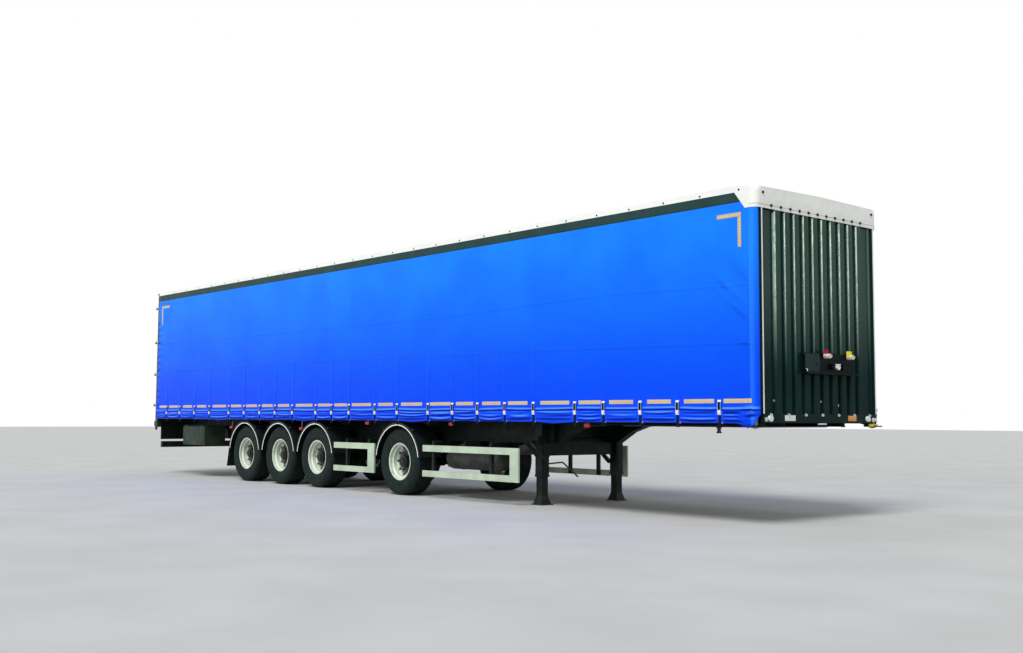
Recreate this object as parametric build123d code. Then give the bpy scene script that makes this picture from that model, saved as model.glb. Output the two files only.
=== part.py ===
from build123d import *
from math import cos, sin, radians
import os

# A four-axle curtain-side semi trailer with one axle set ahead of a close group of three.
# Frame: +X forward, +Y to the left, +Z up, ground at zero, in millimetres.
# Lengths along the trailer are written as stations: millimetres behind the front wall.

# Driving dimensions
GROUND = 0
FRONT_REACH = 115
REAR_FRAME_FRONT = 16290
REAR_FRAME_DEPTH = 100
CURTAIN_FACE = 1270
CURTAIN_THICKNESS = 4
FLOOR_TOP = 1300
FLOOR_THICKNESS = 28
RAIL_DEPTH = 110
SKIRT_DROP = 25
CANT_TOP = 3907
CANT_DEPTH = 107
ROOF_BAND = 73
ROOF_RISE = 20
LEG_STATION = 4220

# Heights and depths that follow
REAR_FRAME_BACK = REAR_FRAME_FRONT + REAR_FRAME_DEPTH
RAIL_BOTTOM = FLOOR_TOP - RAIL_DEPTH
SKIRT_BOTTOM = RAIL_BOTTOM - SKIRT_DROP
CANT_BOTTOM = CANT_TOP - CANT_DEPTH
CURTAIN_TOP = CANT_BOTTOM - 15
ROOF_EDGE = CANT_TOP + ROOF_BAND
ROOF_CROWN = ROOF_EDGE + ROOF_RISE
INNER_FACE = CURTAIN_FACE - CURTAIN_THICKNESS

# Wheels and axles
AXLE_PITCH = 1300
REAR_OVERHANG = 4000
AXLE_SPREAD = 5130
LAST_AXLE = REAR_FRAME_FRONT - REAR_OVERHANG
LEAD_AXLE = LAST_AXLE - AXLE_SPREAD
AXLE_STATIONS = (LEAD_AXLE, LAST_AXLE - 2 * AXLE_PITCH, LAST_AXLE - AXLE_PITCH, LAST_AXLE)
TYRE_RADIUS = 536
TYRE_WIDTH = 385
RIM_SEAT_RADIUS = 285
WHEEL_CENTRE_Z = TYRE_RADIUS
TYRE_OUTER_FACE = CURTAIN_FACE - 50
WHEEL_MID_Y = TYRE_OUTER_FACE - TYRE_WIDTH / 2
SPINDLE_RADIUS = 45
BEARING_CLEARANCE = 0.05
AXLE_TUBE_RADIUS = 68

# Main beams
BEAM_Y = 600
FLANGE_WIDTH = 140
FLANGE_THICKNESS = 14
WEB_THICKNESS = 8
BEAM_TOP = FLOOR_TOP - FLOOR_THICKNESS
NECK_BOTTOM = BEAM_TOP - 122
BEAM_BOTTOM = BEAM_TOP - 392
TAIL_BOTTOM = BEAM_TOP - 262
BEAM_START = 123
NECK_END = 3060
BEAM_EDGE = BEAM_Y + FLANGE_WIDTH / 2

# Rear door hinges, the rearmost pieces
HINGE_STATION = REAR_FRAME_BACK + 84
HINGE_RADIUS = 11

# Tension rolls of the curtains, beside the front wall
ROLL_RADIUS = 57
ROLL_STATION = 85
ROLL_Y = CURTAIN_FACE - ROLL_RADIUS
ROLL_CLEARANCE = 3

# X of the front wall, so that the trailer is centred on the origin
MID = (HINGE_STATION + HINGE_RADIUS - FRONT_REACH) / 2
SIDES = (("right", -1), ("left", 1))


def at(station):
    """X of a station."""
    return MID - station


def block(s0, s1, y0, y1, z0, z1):
    """A box between two stations, two widths and two heights."""
    size = (abs(s1 - s0), abs(y1 - y0), abs(z1 - z0))
    return Pos(at((s0 + s1) / 2), (y0 + y1) / 2, (z0 + z1) / 2) * Box(*size)


def upright(station, y, z0, z1, radius):
    """A round bar standing along Z."""
    return Pos(at(station), y, (z0 + z1) / 2) * Cylinder(radius, abs(z1 - z0))


def crossways(station, z, y0, y1, radius):
    """A round bar lying along Y."""
    return Pos(at(station), (y0 + y1) / 2, z) * Rot(90, 0, 0) * Cylinder(radius, abs(y1 - y0))


def lengthways(s0, s1, y, z, radius):
    """A round bar lying along X."""
    return Pos(at((s0 + s1) / 2), y, z) * Rot(0, 90, 0) * Cylinder(radius, abs(s1 - s0))


def side_profile(points, y0, y1):
    """A plate whose outline is drawn in stations and heights, between two widths."""
    outline = Polyline(*[(at(s), 0, z) for s, z in points], close=True)
    plate = extrude(make_face(outline), amount=y1 - y0, dir=(0, 1, 0))
    return Pos(0, y0, 0) * plate


def section(points, s0, s1):
    """A bar whose section is drawn in widths and heights, between two stations."""
    outline = Polyline(*[(at(s1), y, z) for y, z in points], close=True)
    return extrude(make_face(outline), amount=s1 - s0, dir=(1, 0, 0))


def plan_profile(points, z0, z1):
    """A plate whose outline is drawn in stations and widths, between two heights."""
    outline = Polyline(*[(at(s), y, z0) for s, y in points], close=True)
    return extrude(make_face(outline), amount=z1 - z0, dir=(0, 0, 1))


def turned(points):
    """A ring about Y from a closed outline of radii and widths."""
    outline = Polyline(*[(r, y, 0) for r, y in points], close=True)
    return revolve(make_face(outline), axis=Axis.Y)


def mirrored(shape):
    """The same piece on the other side of the trailer."""
    return mirror(shape, about=Plane.XZ)


def fused(pieces):
    """One piece from touching pieces."""
    return pieces[0].fuse(*pieces[1:]) if len(pieces) > 1 else pieces[0]


def save(node, pieces):
    """Write one node from a list of separate solids."""
    solids = [solid for piece in pieces for solid in piece.solids()]
    shape = solids[0] if len(solids) == 1 else Compound(children=solids)
    export_step(shape, f"parts/{node}.step")


def i_beam(lower):
    """A welded I-beam under the floor, from the stations and heights of its lower edge."""
    lower_top = [(s, z + FLANGE_THICKNESS) for s, z in lower]
    start, end = lower[0][0], lower[-1][0]
    web = side_profile(lower + [(end, BEAM_TOP), (start, BEAM_TOP)],
                       BEAM_Y - WEB_THICKNESS / 2, BEAM_Y + WEB_THICKNESS / 2)
    inner = BEAM_Y - FLANGE_WIDTH / 2
    lower_flange = side_profile(lower + lower_top[::-1], inner, BEAM_EDGE)
    upper_flange = block(start, end, inner, BEAM_EDGE, BEAM_TOP - FLANGE_THICKNESS, BEAM_TOP)
    beam = fused([web, lower_flange, upper_flange])
    return [beam, mirrored(beam)]


def neck_beams():
    """The shallow beams over the towing vehicle."""
    return i_beam([(BEAM_START, NECK_BOTTOM), (NECK_END, NECK_BOTTOM)])


def main_beams():
    """The deep beams, cranked down behind the neck and tapered at the tail."""
    tail = REAR_FRAME_FRONT - 1990
    return i_beam([(NECK_END, NECK_BOTTOM), (NECK_END + 380, NECK_BOTTOM - 30),
                   (NECK_END + 640, NECK_BOTTOM - 110), (NECK_END + 920, BEAM_BOTTOM),
                   (tail - 1000, BEAM_BOTTOM), (tail, TAIL_BOTTOM), (REAR_FRAME_FRONT, TAIL_BOTTOM)])


CROSS_BOTTOM = RAIL_BOTTOM + 6
CROSS_PITCH = 800
CROSS_START = 480
CROSS_COUNT = int((REAR_FRAME_FRONT - CROSS_START) / CROSS_PITCH) + 1
CROSS_FLANGE = 45
CROSS_PLATE = 6


def cross_members(beams):
    """Pressed channels under the floor, notched around the main beams."""
    pieces = []
    half = INNER_FACE - 6
    inside = CROSS_BOTTOM + CROSS_PLATE
    under = BEAM_TOP - CROSS_PLATE
    for index in range(CROSS_COUNT):
        s = CROSS_START + index * CROSS_PITCH
        back = s + CROSS_FLANGE
        web = s + CROSS_PLATE
        channel = [(s, CROSS_BOTTOM), (back, CROSS_BOTTOM), (back, inside), (web, inside), (web, under),
                   (back, under), (back, BEAM_TOP), (s, BEAM_TOP)]
        pieces.append(side_profile(channel, -half, half).cut(*beams))
    return pieces


RAIL_PLATE = 6
RAIL_TOP_WIDTH = 66
RAIL_LIP = 50


def side_rails():
    """Folded edge rails that the curtain straps hook under."""
    outer, skin = INNER_FACE, INNER_FACE - RAIL_PLATE
    top_lip, low_lip = outer - RAIL_TOP_WIDTH, outer - RAIL_LIP
    shape = [(outer, RAIL_BOTTOM), (outer, FLOOR_TOP), (top_lip, FLOOR_TOP), (top_lip, FLOOR_TOP - RAIL_PLATE),
             (skin, FLOOR_TOP - RAIL_PLATE), (skin, RAIL_BOTTOM + RAIL_PLATE),
             (low_lip, RAIL_BOTTOM + RAIL_PLATE), (low_lip, RAIL_BOTTOM)]
    rail = section(shape, ROLL_STATION + ROLL_RADIUS + ROLL_CLEARANCE, REAR_FRAME_FRONT)
    return [rail, mirrored(rail)]


KING_PIN_STATION = 1600
KING_PIN_RADIUS = 25.4
KING_PIN_HEAD = 35.7
PLATE_THICKNESS = 12
PLATE_END = 2700


def coupling_plate():
    """The rubbing plate under the neck, with its turned-up nose and the king pin."""
    bottom = NECK_BOTTOM - PLATE_THICKNESS
    nose = [(360, NECK_BOTTOM), (420, bottom), (PLATE_END, bottom), (PLATE_END, NECK_BOTTOM)]
    plate = side_profile(nose, -BEAM_EDGE, BEAM_EDGE)
    # radius and drop below the plate
    steps = ((0, 0), (36.5, 0), (36.5, 14), (KING_PIN_RADIUS, 18), (KING_PIN_RADIUS, 64), (KING_PIN_HEAD, 66),
             (KING_PIN_HEAD, 80), (31, 84), (0, 84))
    outline = Polyline(*[(r, 0, bottom - drop) for r, drop in steps], close=True)
    pin = Pos(at(KING_PIN_STATION), 0, 0) * revolve(make_face(outline), axis=Axis.Z)
    return [fused([plate, pin])]


def roll_room():
    """The space that each tension roll turns in, cut from the pieces around it."""
    room = upright(ROLL_STATION, ROLL_Y, SKIRT_BOTTOM, HEAD_BOTTOM, ROLL_RADIUS + ROLL_CLEARANCE)
    return [room, mirrored(room)]


def load_floor():
    """The boarded floor between the edge rails."""
    half = INNER_FACE - RAIL_TOP_WIDTH
    boards = block(BEAM_START, REAR_FRAME_FRONT, -half, half, BEAM_TOP, FLOOR_TOP)
    return [boards.cut(*roll_room())]


# Front wall
RIB_COUNT = 10
RIB_PITCH = 189
RIB_CREST = 92
RIB_DEPTH = 40
RIB_RUN = 16
WALL_SHEET = 3
WALL_HALF = CURTAIN_FACE - 120
EDGE_FOLD = 45
EDGE_RISE = 22
CAP_LOW = CANT_TOP - 202
BOLSTER_TOP = FLOOR_TOP + 5
BOLSTER_BOTTOM = RAIL_BOTTOM + 6
HEAD_BOTTOM = CANT_BOTTOM - 80
HEAD_CHAMFER = 55
POST_DEPTH = 80
POST_WIDTH = 75
FRAME_BACK = RIB_DEPTH + WALL_SHEET + POST_DEPTH


def rib_line(offset):
    """Front-wall corrugation seen from above, as stations and widths, one sheet thickness apart."""
    first = -RIB_PITCH * (RIB_COUNT - 1) / 2
    crest = RIB_CREST / 2
    fold = WALL_HALF - EDGE_FOLD
    edge = [(RIB_DEPTH - EDGE_RISE + offset, WALL_HALF), (RIB_DEPTH - EDGE_RISE + offset, fold),
            (RIB_DEPTH + offset, fold - RIB_RUN)]
    points = [(station, -y) for station, y in edge]
    for index in range(RIB_COUNT):
        middle = first + index * RIB_PITCH
        points += [(RIB_DEPTH + offset, middle - crest - RIB_RUN), (offset, middle - crest),
                   (offset, middle + crest), (RIB_DEPTH + offset, middle + crest + RIB_RUN)]
    return points + edge[::-1]


def front_wall():
    """The pressed steel front wall with ten upright ribs."""
    outline = rib_line(0) + rib_line(WALL_SHEET)[::-1]
    return [plan_profile(outline, BOLSTER_TOP, CANT_BOTTOM)]


def front_frame():
    """Corner posts, head beam and the bolster that the front wall stands on."""
    start = RIB_DEPTH + WALL_SHEET
    edge = WALL_HALF + 15
    lip = [(-10, BOLSTER_TOP), (-10, BOLSTER_BOTTOM + 12), (-4, BOLSTER_BOTTOM),
           (FRAME_BACK, BOLSTER_BOTTOM), (FRAME_BACK, BOLSTER_TOP)]
    corner = INNER_FACE - HEAD_CHAMFER
    head = [(start, -corner), (start + HEAD_CHAMFER, -INNER_FACE), (FRAME_BACK, -INNER_FACE),
            (FRAME_BACK, INNER_FACE), (start + HEAD_CHAMFER, INNER_FACE), (start, corner)]
    pieces = [side_profile(lip, -edge, edge), plan_profile(head, HEAD_BOTTOM, CANT_TOP)]
    foot = SKIRT_BOTTOM - 15
    for _, side in SIDES:
        inner, outer = side * (WALL_HALF - POST_WIDTH), side * WALL_HALF
        pieces.append(block(start, FRAME_BACK, inner, outer, BOLSTER_TOP, HEAD_BOTTOM))
        pieces.append(block(start, FRAME_BACK, inner, side * edge, foot, BOLSTER_BOTTOM))
        pieces.append(block(-30, FRAME_BACK, inner, side * (CURTAIN_FACE - 8), foot, SKIRT_BOTTOM))
    return [fused(pieces).cut(*roll_room())]


def corner_trims():
    """White beaded strips up the front edges of the wall."""
    strip = block(-6, RIB_DEPTH - 12, WALL_HALF, WALL_HALF + 24, BOLSTER_TOP, CAP_LOW)
    return [strip, mirrored(strip)]


# Side curtains
CURTAIN_END = REAR_FRAME_FRONT + 45


def side_curtains():
    """The two curtains, each a flat sheet between its tension roll and the rear frame."""
    sheet = block(ROLL_STATION, CURTAIN_END, INNER_FACE, CURTAIN_FACE, SKIRT_BOTTOM, CURTAIN_TOP)
    return [sheet, mirrored(sheet)]


def tension_rolls():
    """The curtains' front edges wound on upright poles beside the front wall."""
    wound = upright(ROLL_STATION, ROLL_Y, SKIRT_BOTTOM, HEAD_BOTTOM, ROLL_RADIUS)
    flat = block(ROLL_STATION, ROLL_STATION + ROLL_RADIUS, INNER_FACE, CURTAIN_FACE, SKIRT_BOTTOM, HEAD_BOTTOM)
    roll = wound.cut(flat)
    return [roll, mirrored(roll)]


# Places of the strap buckles, in thousandths of the curtain's length
BUCKLE_PLACES = (34, 74, 112, 152, 185, 236, 274, 312, 349, 387, 438, 477,
                 525, 559, 591, 641, 680, 716, 754, 793, 845, 887, 930, 970)
STRAP_WIDTH = 45
STRAP_THICKNESS = 3
BUCKLE_TOP = FLOOR_TOP + 167
BUCKLE_LENGTH = 177
BUCKLE_PROUD = 14


def curtain_buckles():
    """Over-centre buckles on webbing straps that hook under the edge rail."""
    face = CURTAIN_FACE
    web = face + STRAP_THICKNESS
    hook = INNER_FACE - 8
    low = SKIRT_BOTTOM - 25
    top = BUCKLE_TOP - 27
    tip = BUCKLE_TOP - BUCKLE_LENGTH
    strap = [(face, top), (face, low + 4), (hook + 4, low + 4), (hook + 4, RAIL_BOTTOM), (hook, RAIL_BOTTOM),
             (hook, low), (web, low), (web, top)]
    lever = [(face, BUCKLE_TOP), (face, top), (web, top), (web, tip + 10), (face + 8, tip),
             (face + BUCKLE_PROUD, tip + 20), (face + BUCKLE_PROUD, top), (face + 8, BUCKLE_TOP)]
    pieces = []
    for place in BUCKLE_PLACES:
        station = REAR_FRAME_FRONT * place / 1000
        strap_part = section(strap, station - STRAP_WIDTH / 2, station + STRAP_WIDTH / 2)
        lever_part = section(lever, station - STRAP_WIDTH / 2 - 3, station + STRAP_WIDTH / 2 + 3)
        piece = fused([strap_part, lever_part])
        pieces += [piece, mirrored(piece)]
    return pieces


# Roof
BOW_START = 500
BOW_PITCH = 800
BOW_COUNT = int((REAR_FRAME_FRONT - BOW_START) / BOW_PITCH) + 1
BOW_TUBE = 40
ROOF_SHEET = 4
CANT_WIDTH = 90
TRACK_DEPTH = 28
TRACK_WIDTH = 30


def cant_rails():
    """Upper edge rails with the curtain's runner track below."""
    inner = CURTAIN_FACE - CANT_WIDTH
    track_low = CANT_BOTTOM - TRACK_DEPTH
    track_in = INNER_FACE - TRACK_WIDTH
    shape = [(CURTAIN_FACE, CANT_BOTTOM), (CURTAIN_FACE, CANT_TOP), (inner, CANT_TOP), (inner, CANT_BOTTOM),
             (track_in, CANT_BOTTOM), (track_in, track_low), (INNER_FACE, track_low),
             (INNER_FACE, CANT_BOTTOM)]
    rail = section(shape, BEAM_START, REAR_FRAME_FRONT)
    return [rail, mirrored(rail)]


def sheet_underside(y):
    """Height of the roof sheet's underside at a width."""
    return ROOF_CROWN - ROOF_SHEET - (ROOF_CROWN - ROOF_EDGE) * abs(y) / CURTAIN_FACE


def roof_bows():
    """Light cross bows that stand on the cant rails and carry the roof sheet."""
    half = CURTAIN_FACE - 8
    foot = half - 60
    top = [(-half, CANT_TOP), (-half, sheet_underside(half)), (0, sheet_underside(0)),
           (half, sheet_underside(half)), (half, CANT_TOP)]
    under = [(foot, CANT_TOP), (foot, sheet_underside(foot) - BOW_TUBE), (0, sheet_underside(0) - BOW_TUBE),
             (-foot, sheet_underside(foot) - BOW_TUBE), (-foot, CANT_TOP)]
    starts = [BOW_START + index * BOW_PITCH for index in range(BOW_COUNT)]
    return [section(top + under, s, s + BOW_TUBE) for s in starts]


def roof_section(station, low, edge, crown, half):
    """A closed roof outline at one station."""
    points = [(-half, low), (-half, edge), (0, crown), (half, edge), (half, low)]
    return make_face(Polyline(*[(at(station), y, z) for y, z in points], close=True))


CAP_BACK = 303
CAP_SLANT_FOOT = 152
CAP_FALL = 25


def cap_body(front, half, low, drop):
    """The solid form of the cap, with rounded front corners and a top that falls to the front."""
    edge, crown = ROOF_EDGE - drop, ROOF_CROWN - drop
    form = loft([roof_section(front, low, edge - CAP_FALL, crown - CAP_FALL, half),
                 roof_section(CAP_BACK + drop, low, edge, crown, half)], ruled=True)
    corners = form.edges().filter_by(Axis.Z).group_by(Axis.X)[-1]
    return fillet(corners, ROLL_STATION - front)


def roof_cover():
    """The white roof sheet with turned-down edges and the sloped cap over the front wall."""
    inner = CURTAIN_FACE
    outer = inner + ROOF_SHEET
    drop = ROOF_SHEET
    shape = [(-outer, CANT_TOP), (-outer, ROOF_EDGE), (0, ROOF_CROWN), (outer, ROOF_EDGE),
             (outer, CANT_TOP), (inner, CANT_TOP), (inner, ROOF_EDGE - drop), (0, ROOF_CROWN - drop),
             (-inner, ROOF_EDGE - drop), (-inner, CANT_TOP)]
    sheet = section(shape, CAP_BACK, REAR_FRAME_BACK)
    outside = cap_body(-drop, outer, CAP_LOW, 0)
    inside = cap_body(0, inner, CAP_LOW - 1, drop)
    slant = side_profile([(CAP_BACK + 1, CANT_TOP), (CAP_SLANT_FOOT, CAP_LOW), (CAP_BACK + 1, CAP_LOW - 1)],
                         -outer - 1, outer + 1)
    return [fused([sheet, outside.cut(inside, slant)])]


PILLAR_COUNT = 4
PILLAR_WIDTH = 120


def side_posts():
    """Sliding pillars inside the curtains."""
    pieces = []
    for index in range(PILLAR_COUNT):
        s = REAR_FRAME_FRONT * (index + 1) / (PILLAR_COUNT + 1)
        post = block(s - PILLAR_WIDTH / 2, s + PILLAR_WIDTH / 2, CURTAIN_FACE - CANT_WIDTH,
                     INNER_FACE - TRACK_WIDTH, FLOOR_TOP, CANT_BOTTOM)
        pieces += [post, mirrored(post)]
    return pieces


# Rear frame and doors
HINGE_Y = CURTAIN_FACE
HINGE_PIN = 6
HINGE_LEAF = 40
DOOR_FACE = REAR_FRAME_BACK + 5
DOOR_THICKNESS = 30
DOOR_BACK = DOOR_FACE + DOOR_THICKNESS
DOOR_EDGE = CURTAIN_FACE - 32
DOOR_BOTTOM = RAIL_BOTTOM
DOOR_TOP = CANT_TOP - 7
DOOR_HEIGHT = DOOR_TOP - DOOR_BOTTOM
DOOR_GAP = 4
SILL_BOTTOM = DOOR_BOTTOM - 40
POST_INNER = INNER_FACE - 100
HEADER_BOTTOM = CANT_BOTTOM - 10
LOCK_BAR_YS = (230, 820)
LOCK_BAR_RADIUS = 13
LOCK_BAR_STATION = DOOR_BACK + 17
BAR_REACH = 30
EAR = 12
# heights on the door, in hundredths of its height
HINGE_HEIGHTS = [DOOR_BOTTOM + DOOR_HEIGHT * share / 100 for share in (10, 35, 61, 89)]
BRACKET_HEIGHTS = [DOOR_BOTTOM + DOOR_HEIGHT * share / 100 for share in (3, 19, 48, 78, 97)]


def rear_frame():
    """The rear portal with its hinge lugs, lock keepers and lamp brackets."""
    s0, s1 = REAR_FRAME_FRONT, REAR_FRAME_BACK
    edge = sheet_underside(INNER_FACE)
    header = [(-INNER_FACE, HEADER_BOTTOM), (INNER_FACE, HEADER_BOTTOM), (INNER_FACE, edge),
              (0, sheet_underside(0)), (-INNER_FACE, edge)]
    pieces = [block(s0, s1, -INNER_FACE, INNER_FACE, SILL_BOTTOM, FLOOR_TOP), section(header, s0, s1)]
    keeper_bottoms = (DOOR_BOTTOM - BAR_REACH - 8, DOOR_TOP + 8)
    for _, side in SIDES:
        pieces.append(block(s0, s1, side * POST_INNER, side * INNER_FACE, TAIL_BOTTOM, HEADER_BOTTOM + 5))
        pieces.append(block(s1 - 30, s1, side * (INNER_FACE - 40), side * INNER_FACE,
                            TAIL_BOTTOM - 60, TAIL_BOTTOM + 5))
        for z in HINGE_HEIGHTS:
            lug = block(s1 - 20, HINGE_STATION, side * (HINGE_Y - 10), side * (HINGE_Y + 10), z, z + HINGE_LEAF)
            knuckle = upright(HINGE_STATION, side * HINGE_Y, z, z + HINGE_LEAF, HINGE_RADIUS)
            pin = upright(HINGE_STATION, side * HINGE_Y, z, z + 2 * HINGE_LEAF + 1, HINGE_PIN)
            pieces += [lug, knuckle, pin]
        for y in LOCK_BAR_YS:
            for z0 in keeper_bottoms:
                for shift in (-30, 30):
                    ear = side * y + shift
                    pieces.append(block(s1, LOCK_BAR_STATION + 6, ear - EAR / 2, ear + EAR / 2, z0, z0 + 30))
    return [fused(pieces)]


def rear_buffers():
    """Rubber buffers on the feet of the rear posts."""
    depth = 62
    shape = [(REAR_FRAME_BACK, TAIL_BOTTOM + 15), (REAR_FRAME_BACK + depth - 20, TAIL_BOTTOM + 15),
             (REAR_FRAME_BACK + depth, TAIL_BOTTOM + 35), (REAR_FRAME_BACK + depth, SILL_BOTTOM - 30),
             (REAR_FRAME_BACK + depth - 20, SILL_BOTTOM - 10), (REAR_FRAME_BACK, SILL_BOTTOM - 10)]
    buffer = side_profile(shape, POST_INNER + 5, INNER_FACE - 5)
    return [buffer, mirrored(buffer)]


BLADE_WIDTH = 280
HANDLE_Z = DOOR_BOTTOM + 290
HANDLE_LENGTH = 330


def rear_door(side):
    """One rear door leaf with its lock bars, brackets, handles and hinge blades."""
    pieces = [block(DOOR_FACE, DOOR_BACK, side * DOOR_GAP, side * DOOR_EDGE, DOOR_BOTTOM, DOOR_TOP)]
    root = side * (HINGE_Y - BLADE_WIDTH)
    for z in HINGE_HEIGHTS:
        z0 = z + HINGE_LEAF + 1
        z1 = z0 + HINGE_LEAF
        blade = [(DOOR_BACK, root), (DOOR_BACK + 8, root), (DOOR_BACK + 8, side * (HINGE_Y - 50)),
                 (HINGE_STATION + 6, side * (HINGE_Y - 20)), (HINGE_STATION + 8, side * HINGE_Y),
                 (HINGE_STATION - 6, side * HINGE_Y), (HINGE_STATION - 6, side * (HINGE_Y - 12)),
                 (DOOR_BACK, side * (HINGE_Y - 42))]
        leaf = plan_profile(blade, z0, z1)
        knuckle = upright(HINGE_STATION, side * HINGE_Y, z0, z1, HINGE_RADIUS)
        bore = upright(HINGE_STATION, side * HINGE_Y, z0 - 1, z1 + 1, HINGE_PIN + 0.1)
        pieces.append(fused([leaf, knuckle]).cut(bore))
    for y in LOCK_BAR_YS:
        tip = y + HANDLE_LENGTH
        pieces.append(upright(LOCK_BAR_STATION, side * y, DOOR_BOTTOM - BAR_REACH, DOOR_TOP + BAR_REACH,
                              LOCK_BAR_RADIUS))
        for z in BRACKET_HEIGHTS:
            pieces.append(block(DOOR_BACK, LOCK_BAR_STATION, side * (y - 30), side * (y + 30), z - 20, z + 20))
        pieces.append(block(LOCK_BAR_STATION - 4, LOCK_BAR_STATION + 4, side * y, side * tip, HANDLE_Z,
                            HANDLE_Z + 36))
        pieces.append(block(DOOR_BACK, LOCK_BAR_STATION, side * (tip - 50), side * (tip - 10),
                            HANDLE_Z - 10, HANDLE_Z + 46))
    return [fused(pieces)]


# Side guards
GUARD_FACE = CURTAIN_FACE - 8
GUARD_DEPTH = 28
GUARD_BACK = GUARD_FACE - GUARD_DEPTH
GUARD_TOP = (717, 815)
GUARD_LOW = (330, 424)
UPRIGHT_WIDTH = 188
REAR_GUARD = (AXLE_STATIONS[1] - 660, LEAD_AXLE + 635)
# side, rear station, front station, places of its two posts in thousandths of its length
GUARDS = ((-1, LEAD_AXLE - 710, LEG_STATION - 44, (286, 897)),
          (-1, *REAR_GUARD, (166, 704)),
          (1, LEAD_AXLE - 710, LEG_STATION + 226, (301, 626)),
          (1, *REAR_GUARD, (166, 704)))
POST_SIZE = 50


def side_guard_rails():
    """Pale guard frames with two rails and a wide front upright."""
    pieces = []
    for side, rear, front, _ in GUARDS:
        upright_back = front + UPRIGHT_WIDTH
        outline = [(rear, GUARD_LOW[0]), (front, GUARD_LOW[0]), (front, GUARD_TOP[1]), (rear, GUARD_TOP[1]),
                   (rear, GUARD_TOP[0]), (upright_back, GUARD_TOP[0]), (upright_back, GUARD_LOW[1]),
                   (rear, GUARD_LOW[1])]
        piece = side_profile(outline, GUARD_BACK, GUARD_FACE)
        pieces.append(piece if side > 0 else mirrored(piece))
    return pieces


def side_guard_posts():
    """Dark brackets that carry the guards from the underside of the main beams."""
    pieces = []
    inner = GUARD_BACK - POST_SIZE
    low = GUARD_LOW[0] + 10
    under = BEAM_BOTTOM - POST_SIZE
    root = BEAM_Y - FLANGE_WIDTH / 2
    shape = [(GUARD_BACK, low), (GUARD_BACK, BEAM_BOTTOM), (root, BEAM_BOTTOM), (root, BEAM_BOTTOM - 8),
             (BEAM_EDGE, under), (inner - 40, under), (inner, under - 40), (inner, low)]
    for side, rear, front, places in GUARDS:
        for place in places:
            station = front + (rear - front) * place / 1000
            piece = section(shape, station - POST_SIZE / 2, station + POST_SIZE / 2)
            pieces.append(piece if side > 0 else mirrored(piece))
    return pieces


# Mudguards
MUDGUARD_RADIUS = TYRE_RADIUS + 84
MUDGUARD_SHEET = 5
MUDGUARD_WIDTH = 430
MUDGUARD_OUTER = CURTAIN_FACE - 14
MUDGUARD_INNER = MUDGUARD_OUTER - MUDGUARD_WIDTH
MUDGUARD_SECTOR = 82
LIP_RADIUS = TYRE_RADIUS + 43
LIP_WIDTH = 12
TUBE_TURN = 38
TUBE_RADIUS = 21
FLAP_BOTTOM = 270
FLAP_LEAN = 80


def mudguards():
    """Half-round mudguards with a turned-in outer lip, on two tubes from the beam web."""
    pieces = []
    ends = WHEEL_CENTRE_Z + MUDGUARD_RADIUS * cos(radians(MUDGUARD_SECTOR))
    tube_reach = MUDGUARD_RADIUS + MUDGUARD_SHEET + TUBE_RADIUS - 3
    middle = MUDGUARD_OUTER - MUDGUARD_WIDTH / 2
    for station in AXLE_STATIONS:
        ring = Cylinder(MUDGUARD_RADIUS + MUDGUARD_SHEET, MUDGUARD_WIDTH)
        hollow = Pos(0, 0, LIP_WIDTH) * Cylinder(MUDGUARD_RADIUS, MUDGUARD_WIDTH)
        arch = ring - hollow - Cylinder(LIP_RADIUS, 2 * MUDGUARD_WIDTH)
        arch = Pos(at(station), middle, WHEEL_CENTRE_Z) * Rot(90, 0, 0) * arch
        below = block(station - 2 * MUDGUARD_RADIUS, station + 2 * MUDGUARD_RADIUS, MUDGUARD_INNER - 50,
                      MUDGUARD_OUTER + 50, GROUND - MUDGUARD_RADIUS, ends)
        parts = [arch.cut(below)]
        for turn in (-TUBE_TURN, TUBE_TURN):
            s = station + tube_reach * sin(radians(turn))
            z = WHEEL_CENTRE_Z + tube_reach * cos(radians(turn))
            parts.append(crossways(s, z, BEAM_Y + WEB_THICKNESS / 2, MUDGUARD_OUTER - 20, TUBE_RADIUS))
        if station == LAST_AXLE:
            top = ends + 30
            edge = station + MUDGUARD_RADIUS * sin(radians(MUDGUARD_SECTOR))
            flap = [(edge - 2, top), (edge + 6, top), (edge + FLAP_LEAN + 8, FLAP_BOTTOM),
                    (edge + FLAP_LEAN, FLAP_BOTTOM)]
            parts.append(side_profile(flap, MUDGUARD_INNER + 5, MUDGUARD_OUTER - 5))
        guard = fused(parts)
        pieces += [guard, mirrored(guard)]
    return pieces


# Running gear
HANGER_LEAD = 500
PIVOT_Z = WHEEL_CENTRE_Z + 104
SPRING_TRAIL = 380
SPRING_RADIUS = 140
SPRING_BASE = WHEEL_CENTRE_Z + 54
ARM_WIDTH = 76
ARM_Z = WHEEL_CENTRE_Z + AXLE_TUBE_RADIUS
TUBE_END = 790
SPINDLE_END = WHEEL_MID_Y + 40
CHAMBER_Y = 380
CHAMBER_RADIUS = 78
CAM_LEAD = 120
DAMPER_RADIUS = 34


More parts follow.
